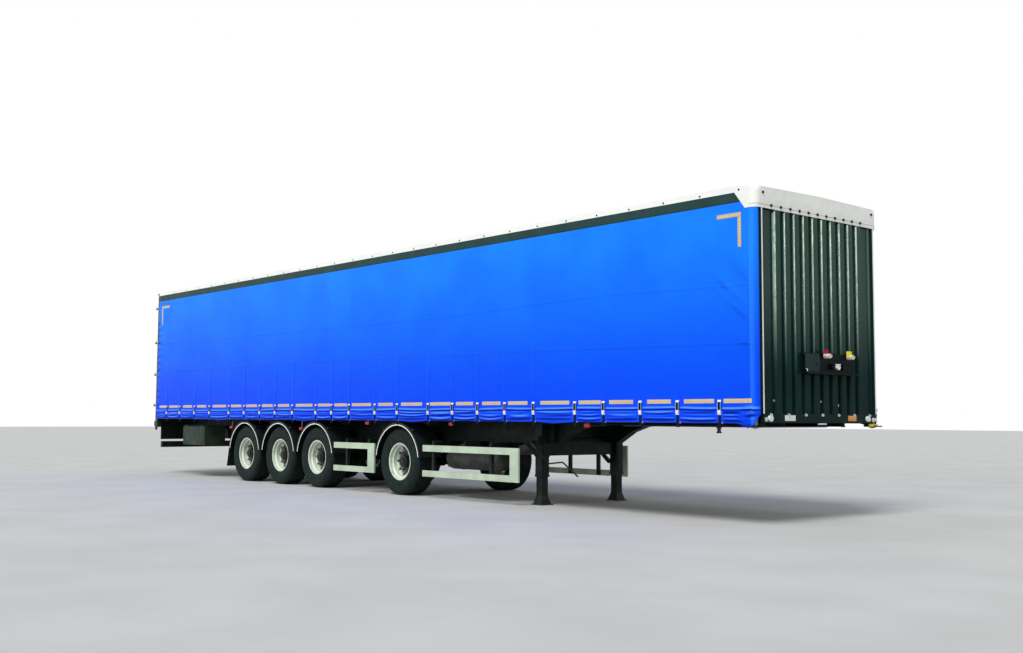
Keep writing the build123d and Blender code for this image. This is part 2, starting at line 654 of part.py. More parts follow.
def axles():
    """Tubular axle beams with stub spindles, brake chambers, push rods and cam shafts."""
    pieces = []
    z = WHEEL_CENTRE_Z
    chamber_z = z + 30
    for station in AXLE_STATIONS:
        cam = station - CAM_LEAD
        clamp = cam - 125
        base = cam - 50
        parts = [crossways(station, z, -TUBE_END, TUBE_END, AXLE_TUBE_RADIUS),
                 crossways(station, z, -SPINDLE_END, SPINDLE_END, SPINDLE_RADIUS)]
        for _, side in SIDES:
            y = side * CHAMBER_Y
            parts.append(crossways(station, z, side * (TUBE_END - 20), side * (TUBE_END + 10), 130))
            parts.append(lengthways(clamp - 85, clamp, y, chamber_z, CHAMBER_RADIUS + 8))
            parts.append(lengthways(clamp - 5, clamp + 7, y, chamber_z, CHAMBER_RADIUS + 18))
            parts.append(lengthways(clamp, base, y, chamber_z, CHAMBER_RADIUS))
            parts.append(block(base - 10, station - 40, y - 40, y + 40, z - 10, z + 10))
            parts.append(lengthways(base - 5, cam, y, chamber_z, 10))
            parts.append(block(cam - 20, cam + 20, y - 11, y + 11, z - 70, chamber_z + 20))
            parts.append(crossways(cam, z - 62, y, side * (TUBE_END + 5), 19))
        pieces.append(fused(parts))
    return pieces


def suspension_arms():
    """Hanger brackets, trailing spring arms, axle seats and dampers."""
    pieces = []
    top = ARM_Z + 62
    for station in AXLE_STATIONS:
        hanger = station - HANGER_LEAD
        pad_front, pad_back = station + SPRING_TRAIL - 110, station + SPRING_TRAIL + 100
        arm = [(hanger - 55, PIVOT_Z + 30), (hanger + 40, PIVOT_Z + 35), (station - 80, top),
               (station + 80, top), (pad_front, SPRING_BASE), (pad_back, SPRING_BASE),
               (pad_back, SPRING_BASE - 24),
               (pad_front - 30, SPRING_BASE - 24), (station + 80, ARM_Z), (station - 80, ARM_Z),
               (hanger + 40, PIVOT_Z - 25), (hanger - 55, PIVOT_Z - 30)]
        leaf = side_profile(arm, BEAM_Y - ARM_WIDTH / 2, BEAM_Y + ARM_WIDTH / 2)
        eye = crossways(hanger, PIVOT_Z, BEAM_Y - 52, BEAM_Y + 52, 48)
        cheek = [(hanger - 150, BEAM_BOTTOM), (hanger + 110, BEAM_BOTTOM), (hanger + 60, PIVOT_Z - 50),
                 (hanger - 60, PIVOT_Z - 50)]
        plates = [side_profile(cheek, BEAM_Y - 60, BEAM_Y - 48),
                  side_profile(cheek, BEAM_Y + 48, BEAM_Y + 60)]
        cap = block(hanger - 150, hanger + 110, BEAM_Y - 60, BEAM_Y + 60, BEAM_BOTTOM - 10, BEAM_BOTTOM)
        seat = block(station - 75, station + 75, BEAM_Y - 55, BEAM_Y + 55, top, top + 20)
        bolts = [upright(station + ds, BEAM_Y + dy, WHEEL_CENTRE_Z - 90, top + 38, 11)
                 for ds in (-AXLE_TUBE_RADIUS - 11, AXLE_TUBE_RADIUS + 11) for dy in (-46, 46)]
        lug_y = BEAM_Y - 60 - DAMPER_RADIUS
        low_eye = crossways(station, top - 10, lug_y, BEAM_Y, 18)
        high_eye = crossways(hanger + 40, BEAM_BOTTOM - 45, lug_y, BEAM_Y - 48, 18)
        start = Vector(at(station), lug_y, top - 10)
        end = Vector(at(hanger + 40), lug_y, BEAM_BOTTOM - 45)
        rod = Solid.make_cylinder(14, (end - start).length, Plane(origin=start, z_dir=end - start))
        body = Solid.make_cylinder(DAMPER_RADIUS, (end - start).length * 0.55,
                                   Plane(origin=start + (end - start) * 0.12, z_dir=end - start))
        piece = fused([leaf, eye, cap, seat, low_eye, high_eye, rod, body] + plates + bolts)
        pieces += [piece, mirrored(piece)]
    return pieces


def air_springs():
    """Rolling-lobe bellows on their pistons between the arms and the beams."""
    pieces = []
    for station in AXLE_STATIONS:
        shape = [(0, SPRING_BASE), (75, SPRING_BASE), (95, SPRING_BASE + 110),
                 (SPRING_RADIUS - 12, SPRING_BASE + 95), (SPRING_RADIUS, SPRING_BASE + 140),
                 (SPRING_RADIUS, BEAM_BOTTOM - 40),
                 (SPRING_RADIUS - 25, BEAM_BOTTOM - 12), (SPRING_RADIUS - 25, BEAM_BOTTOM), (0, BEAM_BOTTOM)]
        outline = Polyline(*[(r, 0, z) for r, z in shape], close=True)
        bellows = Pos(at(station + SPRING_TRAIL), BEAM_Y, 0) * revolve(make_face(outline), axis=Axis.Z)
        pieces += [bellows, mirrored(bellows)]
    return pieces


BEAD_SEAT = RIM_SEAT_RADIUS + 15
RIM_HALF = 165


def tyre():
    """A wide single tyre about the wheel's middle."""
    widest = TYRE_WIDTH / 2
    half = [(RIM_SEAT_RADIUS, RIM_HALF - 12.2), (BEAD_SEAT + 0.3, RIM_HALF - 10.3),
            (BEAD_SEAT + 0.3, RIM_HALF + 3), (TYRE_RADIUS - 186, widest - 8), (TYRE_RADIUS - 111, widest),
            (TYRE_RADIUS - 46, widest - 10), (TYRE_RADIUS - 11, widest - 32), (TYRE_RADIUS, widest - 60)]
    return turned(half + [(r, -y) for r, y in half[::-1]])


HAND_HOLES = 10
HAND_HOLE_RADIUS = 24
HAND_HOLE_PITCH = 222


def rim():
    """A deep-dished steel wheel with hand holes, its hub and brake drum, outer side towards +Y."""
    seat = RIM_SEAT_RADIUS
    bore = SPINDLE_RADIUS + BEARING_CLEARANCE
    lip = RIM_HALF
    barrel = [(BEAD_SEAT, lip), (BEAD_SEAT, lip - 10), (seat - 0.2, lip - 12), (seat - 4, 116), (262, 102),
              (262, 10), (seat - 4, -76), (seat - 0.2, 12 - lip), (BEAD_SEAT, 10 - lip), (BEAD_SEAT, -lip),
              (276, 3 - lip), (270, -76), (250, 4), (250, 100), (272, 120), (276, lip - 3)]
    disc = [(256, 62), (256, 30), (190, -4), (120, -10), (120, 4), (186, 10), (244, 42), (244, 62)]
    hub = [(bore, -180), (205, -180), (205, -4), (140, -4), (140, 18), (100, 22), (92, 96), (66, 104),
           (62, 128), (0, 130), (0, 60), (bore, 60)]
    holes = [Rot(0, index * 360 / HAND_HOLES, 0) * Pos(HAND_HOLE_PITCH, 25, 0) * Rot(90, 0, 0)
             * Cylinder(HAND_HOLE_RADIUS, 56) for index in range(HAND_HOLES)]
    return fused([turned(barrel), turned(disc).cut(*holes), turned(hub)])


# Landing gear
LEG_Y = 765
LEG_OUTER = 140
LEG_INNER = 118
LEG_JOINT = 400
FOOT_LENGTH = 240
FOOT_WIDTH = 220
FOOT_PLATE = 14
FOOT_TOP = 125
GEARBOX_LOW = 850
BRACE_LOW = 700
BRACE_HALF = BEAM_Y - FLANGE_WIDTH / 2
# stowed crank, as lengths ahead of the leg's middle and heights
CRANK_ROUTE = ((-40, 900), (306, 600), (594, 630), (901, 443))
CRANK_RADIUS = 11


def landing_gear():
    """Telescopic legs on mounting plates, with foot plates, bracing, cross shaft and crank."""
    parts = []
    half = LEG_OUTER / 2
    inner = LEG_Y - half
    web = BEAM_Y + WEB_THICKNESS / 2
    for _, side in SIDES:
        y = side * LEG_Y
        parts.append(block(LEG_STATION - half, LEG_STATION + half, y - half, y + half, LEG_JOINT, NECK_BOTTOM))
        collar = half + 6
        parts.append(block(LEG_STATION - collar, LEG_STATION + collar, y - collar, y + collar, LEG_JOINT,
                           LEG_JOINT + 30))
        parts.append(block(LEG_STATION - LEG_INNER / 2, LEG_STATION + LEG_INNER / 2, y - LEG_INNER / 2,
                           y + LEG_INNER / 2, 60, LEG_JOINT))
        flare = loft([Pos(at(LEG_STATION), y, FOOT_PLATE) * Rectangle(FOOT_LENGTH - 50, FOOT_WIDTH - 40),
                      Pos(at(LEG_STATION), y, FOOT_TOP) * Rectangle(LEG_INNER, LEG_INNER)])
        foot = block(LEG_STATION - FOOT_LENGTH / 2, LEG_STATION + FOOT_LENGTH / 2, y - FOOT_WIDTH / 2,
                     y + FOOT_WIDTH / 2, GROUND, FOOT_PLATE)
        mount = block(LEG_STATION - 170, LEG_STATION + 110, side * web, side * inner, BEAM_BOTTOM + 20,
                      NECK_BOTTOM + 30)
        edge = block(LEG_STATION - half - 8, LEG_STATION - half, y - 45, y + 45, LEG_JOINT + 30,
                     NECK_BOTTOM - 170)
        stay = side_profile([(LEG_STATION + 40, 600), (LEG_STATION + 80, 560), (LEG_STATION + 470, BEAM_BOTTOM),
                             (LEG_STATION + 400, BEAM_BOTTOM)], side * (inner - 35), side * (inner + 5))
        gusset = section([(side * inner, BRACE_LOW + 10), (side * (inner - 90), BRACE_LOW + 10),
                          (side * inner, BRACE_LOW - 90)], LEG_STATION - 6, LEG_STATION + 6)
        parts += [flare, foot, mount, edge, stay, gusset]
    parts.append(block(LEG_STATION - 6, LEG_STATION + 6, -inner, inner, BRACE_LOW, BEAM_BOTTOM))
    parts.append(block(LEG_STATION - 6, LEG_STATION + 6, -BRACE_HALF, BRACE_HALF, BEAM_BOTTOM,
                       NECK_BOTTOM - 60))
    parts.append(block(LEG_STATION - 40, LEG_STATION + 6, -inner, inner, BRACE_LOW, BRACE_LOW + 10))
    shaft_end = BEAM_Y - WEB_THICKNESS / 2
    parts.append(crossways(LEG_STATION - 40, BEAM_BOTTOM + 50, -shaft_end, shaft_end, 18))
    outer = LEG_Y + half
    gearbox = block(LEG_STATION - 60, LEG_STATION + 60, -outer - 40, -outer, GEARBOX_LOW, GEARBOX_LOW + 130)
    cover = block(LEG_STATION - 42, LEG_STATION + 42, -outer - 52, -outer - 40, GEARBOX_LOW + 16,
                  GEARBOX_LOW + 114)
    parts += [gearbox, cover]
    handle_y = -outer - 85
    route = [(at(LEG_STATION - lead), handle_y, z) for lead, z in CRANK_ROUTE]
    path = FilletPolyline(*route, radius=50)
    parts.append(sweep(Plane(origin=path @ 0, z_dir=path % 0) * Circle(CRANK_RADIUS), path=path))
    lead, z = CRANK_ROUTE[0]
    parts.append(crossways(LEG_STATION - lead, z, handle_y - 20, -outer, 20))
    return [fused(parts)]


UNDERRUN_FRONT = REAR_FRAME_FRONT - 150
UNDERRUN_DEPTH = 80
UNDERRUN_HEIGHTS = (570, 700)


def underrun_bar():
    """The rear bumper beam on two drop brackets."""
    low, high = UNDERRUN_HEIGHTS
    back = UNDERRUN_FRONT + UNDERRUN_DEPTH
    beam = [(UNDERRUN_FRONT, low + 8), (UNDERRUN_FRONT, high - 8), (UNDERRUN_FRONT + 8, high), (back - 8, high),
            (back, high - 8), (back, low + 8), (back - 8, low), (UNDERRUN_FRONT + 8, low)]
    reach = CURTAIN_FACE - 70
    parts = [side_profile(beam, -reach, reach)]
    drop = [(UNDERRUN_FRONT - 160, TAIL_BOTTOM), (back + 40, TAIL_BOTTOM), (back, high), (back, low + 20),
            (UNDERRUN_FRONT, low + 20), (UNDERRUN_FRONT - 30, high)]
    for _, side in SIDES:
        parts.append(side_profile(drop, side * BEAM_Y - 8, side * BEAM_Y + 8))
    return [fused(parts)]


# station, lowest height of each side marker
MARKERS = ((LEAD_AXLE - 4350, 1122), (LEAD_AXLE - 1410, 1122), (LEAD_AXLE + 870, 1122),
           (AXLE_STATIONS[1] + 485, 1010), (LAST_AXLE + 560, 1010))
MARKER_LENGTH = 100
MARKER_HEIGHT = 48
MARKER_DEPTH = 30
FRONT_LAMPS = (-1066, 948)


def lamps():
    """Side markers on drop brackets, front markers and the rear lamp clusters."""
    pieces = []
    back = INNER_FACE - 44
    for station, z in MARKERS:
        bracket = block(station - 20, station + 20, back - 4, back, z, RAIL_BOTTOM)
        lamp = block(station - MARKER_LENGTH / 2, station + MARKER_LENGTH / 2, back, back + MARKER_DEPTH, z,
                     z + MARKER_HEIGHT)
        lamp = fillet(lamp.edges().filter_by(Axis.Y), MARKER_HEIGHT / 3)
        piece = fused([bracket, lamp])
        pieces += [piece, mirrored(piece)]
    for y in FRONT_LAMPS:
        pieces.append(lengthways(-40, -10, y, FLOOR_TOP - 50, 36))
    front, back = REAR_FRAME_FRONT + 40, REAR_FRAME_FRONT + 60
    reach = POST_INNER - 16
    board = block(front, back, -reach, reach, UNDERRUN_HEIGHTS[1] + 40, SILL_BOTTOM)
    cluster = block(back, back + 50, reach - 430, reach - 30, SILL_BOTTOM - 190, SILL_BOTTOM - 60)
    plate_lamp = block(back, back + 40, -60, 60, SILL_BOTTOM - 70, SILL_BOTTOM - 40)
    pieces.append(fused([board, cluster, mirrored(cluster), plate_lamp]))
    return pieces


# Tool box
BOX_FRONT = REAR_FRAME_FRONT - 2265
BOX_LENGTH = 1010
BOX_BACK = BOX_FRONT + BOX_LENGTH
BOX_FACE = CURTAIN_FACE - 55
BOX_DEPTH = 440
BOX_LOW = TAIL_BOTTOM - 360
BOX_HIGH = TAIL_BOTTOM + 50
BOX_WALL = 6
LID_THICKNESS = 14
LID_GAP = 5
LID_HINGE_Z = BOX_HIGH - 12
LID_HINGE_Y = -BOX_FACE - LID_GAP - LID_THICKNESS / 2
LID_KNUCKLE = 6
LID_PIN = 3
LUG_LENGTH = 60
LUG_INSET = 150


def toolbox():
    """An open-fronted box hung from the beam, on the right side."""
    y_face = -BOX_FACE
    y_back = -BOX_FACE + BOX_DEPTH
    shell = block(BOX_FRONT, BOX_BACK, y_face, y_back, BOX_LOW, BOX_HIGH)
    room = block(BOX_FRONT + BOX_WALL, BOX_BACK - BOX_WALL, y_face - 1, y_back - BOX_WALL, BOX_LOW + BOX_WALL,
                 BOX_HIGH - BOX_WALL)
    parts = [shell.cut(room)]
    for s in (BOX_FRONT + LUG_INSET, BOX_BACK - LUG_INSET):
        parts.append(block(s - 25, s + 25, y_back, -BEAM_Y - WEB_THICKNESS / 2, TAIL_BOTTOM + FLANGE_THICKNESS,
                           BOX_HIGH))
        lug = s - LUG_LENGTH
        parts.append(block(lug, s - 1, LID_HINGE_Y - 5, y_face, LID_HINGE_Z - 5, BOX_HIGH))
        parts.append(lengthways(lug, s - 1, LID_HINGE_Y, LID_HINGE_Z, LID_KNUCKLE))
        parts.append(lengthways(lug, s + LUG_LENGTH, LID_HINGE_Y, LID_HINGE_Z, LID_PIN))
    return [fused(parts)]


def toolbox_lid():
    """The top-hinged lid of the tool box, with a raised panel and two catches."""
    y0 = -BOX_FACE - LID_GAP
    y1 = y0 - LID_THICKNESS
    low, high = BOX_LOW + 6, BOX_HIGH - 24
    lid = block(BOX_FRONT + 4, BOX_BACK - 4, y1, y0, low, high)
    lid = fillet(lid.edges().filter_by(Axis.Y), 30)
    raised = block(BOX_FRONT + 70, BOX_BACK - 70, y1 - 5, y1, low + 60, high - 60)
    parts = [lid, fillet(raised.edges().filter_by(Axis.Y), 30)]
    for s in (BOX_FRONT + LUG_INSET, BOX_BACK - LUG_INSET):
        leaf = block(s + 1, s + LUG_LENGTH, y1, y0 - 2, high - 2, LID_HINGE_Z)
        knuckle = lengthways(s + 1, s + LUG_LENGTH, LID_HINGE_Y, LID_HINGE_Z, LID_KNUCKLE)
        bore = lengthways(s, s + LUG_LENGTH + 1, LID_HINGE_Y, LID_HINGE_Z, LID_PIN + 0.1)
        parts.append(fused([leaf, knuckle]).cut(bore))
        parts.append(block(s - 20, s + 20, y1 - 12, y1, low + 6, low + 52))
    return [fused(parts)]


TANK_RADIUS = 160
TANK_Y = 860
TANK_Z = 610
# side, front station, back station
TANKS = ((-1, LEG_STATION + 700, LEAD_AXLE - 940), (1, LEAD_AXLE + 940, AXLE_STATIONS[1] - 1100))


def air_tanks():
    """Air reservoirs with domed ends, hung beside the main beams."""
    # radius, length back from the tank's end
    dome = ((0, 0), (80, 7), (130, 30), (153, 64), (TANK_RADIUS, 105))
    strap_top, strap_low = BEAM_BOTTOM, TANK_Z + TANK_RADIUS - 20
    pieces = []
    for side, front, back in TANKS:
        half = (back - front) / 2
        points = [(radius, half - inset) for radius, inset in dome]
        outline = points + [(radius, -length) for radius, length in points[::-1]]
        face = make_face(Polyline(*[(length, 0, radius) for radius, length in outline], close=True))
        tank = Pos(at((front + back) / 2), side * TANK_Y, TANK_Z) * revolve(face, axis=Axis.X)
        parts = [tank]
        for s in (front + half * 0.48, back - half * 0.48):
            parts.append(block(s - 20, s + 20, side * (BEAM_Y - 40), side * TANK_Y, strap_low, strap_top))
            parts.append(lengthways(s - 20, s + 20, side * TANK_Y, TANK_Z, TANK_RADIUS + 4))
        pieces.append(fused(parts))
    return pieces


# Service panel
PANEL_Z = FLOOR_TOP + 613
PANEL_HALF_HEIGHT = 129
PANEL_RIGHT = -424
PANEL_LEFT = 648
PANEL_DEPTH = 30
GLADHAND_YS = (10, 500)
SOCKET_YS = (150, 262, 374)


def service_panel():
    """The air and electric coupling panel on the front wall, with a shelf and a plain cover."""
    low, high = PANEL_Z - PANEL_HALF_HEIGHT, PANEL_Z + PANEL_HALF_HEIGHT
    face = -PANEL_DEPTH
    parts = [block(face, 0, PANEL_RIGHT, PANEL_LEFT, low, high),
             block(face - 60, face, PANEL_RIGHT, PANEL_LEFT, low, low + 6),
             block(face - 60, face - 54, PANEL_RIGHT, PANEL_LEFT, low, low + 26)]
    cover = block(face - 24, face, PANEL_RIGHT + 10, -120, low + 30, high - 10)
    parts.append(fillet(cover.edges().filter_by(Axis.X), 25))
    parts.append(lengthways(face - 44, face - 24, -170, PANEL_Z, 20))
    for y in GLADHAND_YS:
        z = PANEL_Z + 97
        parts.append(lengthways(-FRONT_REACH, face, y, z, 30))
        parts.append(crossways(face - 35, z, y, y + 95, 17))
        hood = block(face - 50, face - 20, y - 45, y + 25, z - 10, z + 75)
        parts.append(fillet(hood.edges().filter_by(Axis.X), 14))
    for y in SOCKET_YS:
        parts.append(lengthways(face - 40, face, y, PANEL_Z - 33, 32))
        parts.append(block(face - 46, face, y - 26, y + 26, PANEL_Z - 6, PANEL_Z + 6))
    return [fused(parts)]


def build():
    os.makedirs("parts", exist_ok=True)
    neck, beams = neck_beams(), main_beams()
    save("neck_beams", neck)
    save("main_beams", beams)
    save("cross_members", cross_members(neck + beams))
    save("side_rails", side_rails())
    save("coupling_plate", coupling_plate())
    save("load_floor", load_floor())
    save("front_wall", front_wall())
    save("front_frame", front_frame())
    save("corner_trims", corner_trims())
    save("side_curtains", side_curtains())
    save("tension_rolls", tension_rolls())
    save("curtain_buckles", curtain_buckles())
    save("cant_rails", cant_rails())
    save("roof_bows", roof_bows())
    save("roof_cover", roof_cover())
    save("side_posts", side_posts())
    save("rear_frame", rear_frame())
    save("rear_buffers", rear_buffers())
    save("side_guard_rails", side_guard_rails())
    save("side_guard_posts", side_guard_posts())
    save("mudguards", mudguards())
    save("axles", axles())
    save("suspension_arms", suspension_arms())
    save("air_springs", air_springs())
    save("landing_gear", landing_gear())
    save("underrun_bar", underrun_bar())
    save("lamps", lamps())
    save("toolbox", toolbox())
    save("toolbox_lid", toolbox_lid())
    save("air_tanks", air_tanks())
    save("service_panel", service_panel())
    for name, side in SIDES:
        save(f"rear_door_{name}", rear_door(side))
    tyre_shape = tyre()
    rim_shape = rim()
    for number, station in enumerate(AXLE_STATIONS, start=1):
        for name, side in SIDES:
            place = Pos(at(station), WHEEL_MID_Y, WHEEL_CENTRE_Z)
            for node, shape in (("tyre", tyre_shape), ("rim", rim_shape)):
                placed = place * shape
                save(f"{node}_{name}_{number}", [placed if side > 0 else mirrored(placed)])


build()
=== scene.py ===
# %% [markdown]
# # A curtain-side semi trailer
# The trailer's frame, wheels and doors come from a CAD model, and this lesson gives it cloth, rubber,
# paint and the many small pieces that make it look used. Everything is in metres: +X is forward,
# +Y is the trailer's left, and the ground is at zero.

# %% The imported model
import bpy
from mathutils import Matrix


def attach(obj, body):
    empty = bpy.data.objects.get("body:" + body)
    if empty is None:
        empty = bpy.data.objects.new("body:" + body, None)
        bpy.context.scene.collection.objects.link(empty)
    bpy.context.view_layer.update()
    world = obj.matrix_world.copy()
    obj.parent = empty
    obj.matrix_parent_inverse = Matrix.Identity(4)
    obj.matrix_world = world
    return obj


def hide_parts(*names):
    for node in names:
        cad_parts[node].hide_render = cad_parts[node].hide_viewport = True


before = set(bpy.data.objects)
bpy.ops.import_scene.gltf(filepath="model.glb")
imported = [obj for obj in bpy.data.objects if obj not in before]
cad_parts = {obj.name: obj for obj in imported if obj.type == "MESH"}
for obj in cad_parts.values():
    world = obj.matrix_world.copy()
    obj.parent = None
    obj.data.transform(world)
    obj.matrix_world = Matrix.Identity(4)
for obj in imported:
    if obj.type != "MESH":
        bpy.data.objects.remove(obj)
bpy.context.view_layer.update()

# %% Libraries and the trailer's own measure
import bmesh
import bpy
import numpy as np
from math import cos, pi, radians, sin
from mathutils import Matrix, Vector

WALL_X = 8.185  # X of the front wall's outer face
CHASSIS = "chassis"
SIDES = (("right", -1), ("left", 1))


def x_at(station):
    """X of a place so many metres behind the front wall."""
    return WALL_X - station


# %% [markdown]
# ## The camera
# The picture was taken from a little over a metre above the ground, beside the right front corner.
# A camera can be aimed by hand or built from three angles. Angles are easier to check against the
# straight edges of the roof and the curtain, so its axes are built from them here.

# %% Camera
CAMERA_PLACE = Vector((16.4167, -12.0743, 1.2431))
CAMERA_AZIMUTH = radians(49.291)
CAMERA_PITCH = radians(4.508)
CAMERA_ROLL = radians(0.262)
FOCAL_PIXELS = 1159.16
PHOTO_WIDTH = 1023


def camera_axes(azimuth, pitch, roll):
    """Right, up and forward of a camera, turned about its own line of sight by roll."""
    forward = Vector((-sin(azimuth) * cos(pitch), cos(azimuth) * cos(pitch), sin(pitch)))
    level = Vector((cos(azimuth), sin(azimuth), 0))
    upright = level.cross(forward)
    right = level * cos(roll) + upright * sin(roll)
    up = upright * cos(roll) - level * sin(roll)
    return right, up, forward


right, up, forward = camera_axes(CAMERA_AZIMUTH, CAMERA_PITCH, CAMERA_ROLL)
camera_data = bpy.data.cameras.new("photo_camera")
camera = bpy.data.objects.new("photo_camera", camera_data)
bpy.context.scene.collection.objects.link(camera)
turn = Matrix((right, up, -forward)).transposed().to_4x4()
camera.matrix_world = Matrix.Translation(CAMERA_PLACE) @ turn
camera_data.sensor_width = 36.0
camera_data.lens = FOCAL_PIXELS / PHOTO_WIDTH * camera_data.sensor_width
camera_data.clip_end = 400
bpy.context.scene.camera = camera
bpy.context.scene.view_settings.view_transform = "Standard"
print("lens", round(camera_data.lens, 2), "mm")

# %% [markdown]
# ## Light
# The trailer stands in soft light, and most of it comes from a broad pale dome. A wide weak light above
# the right side models the folds, and a low narrow one gives the glossy ribs their pale sides. What the
# camera and the reflections see of the dome is plain white, by Light Path, while the dome that lights
# the trailer stays at a plain level.

# %% Dome and lights
DOME_COLOUR = (0.90, 0.95, 1.0, 1)
DOME_STRENGTH = 0.55
WHITE = (1, 1, 1, 1)
# name, direction of the light, energy, width in degrees
LIGHTS = (("upper_light", (-0.25, 0.50, -0.83), 2.4, 25), ("low_light", (-0.16, 0.965, -0.22), 0.75, 15))

world = bpy.data.worlds.new("dome")
bpy.context.scene.world = world
world.use_nodes = True
dome_nodes, dome_links = world.node_tree.nodes, world.node_tree.links
dome_nodes.clear()
path = dome_nodes.new("ShaderNodeLightPath")
seen = path.outputs["Is Camera Ray"]
for ray in ("Is Glossy Ray", "Is Transmission Ray"):
    either = dome_nodes.new("ShaderNodeMath")
    either.operation = "MAXIMUM"
    dome_links.new(seen, either.inputs[0])
    dome_links.new(path.outputs[ray], either.inputs[1])
    seen = either.outputs[0]
chosen = dome_nodes.new("ShaderNodeMixShader")
dome_links.new(seen, chosen.inputs[0])
for socket, colour, strength in ((1, DOME_COLOUR, DOME_STRENGTH), (2, WHITE, 1.0)):
    glow = dome_nodes.new("ShaderNodeBackground")
    glow.inputs["Color"].default_value = colour
    glow.inputs["Strength"].default_value = strength
    dome_links.new(glow.outputs[0], chosen.inputs[socket])
world_out = dome_nodes.new("ShaderNodeOutputWorld")
dome_links.new(chosen.outputs[0], world_out.inputs["Surface"])

for name, direction, energy, width in LIGHTS:
    light_data = bpy.data.lights.new(name, "SUN")
    light_data.energy = energy
    light_data.angle = radians(width)
    light = bpy.data.objects.new(name, light_data)
    bpy.context.scene.collection.objects.link(light)
    light.rotation_mode = "QUATERNION"
    light.rotation_quaternion = Vector(direction).to_track_quat("-Z", "Y")
print("lights", [row[0] for row in LIGHTS])

# %% [markdown]
# ## Finishes
# Paint, rubber and plastic differ in a few things only: a colour that is never quite even, how rough
# the surface is, how it is dented or grained, and where dust settles. One small class holds those
# steps, so that each finish below is a few readable lines. Textures read the object's own
# coordinates, which are metres on the trailer, so a grain has its real size everywhere.

# %% The finish maker
DUST = (0.235, 0.215, 0.175)


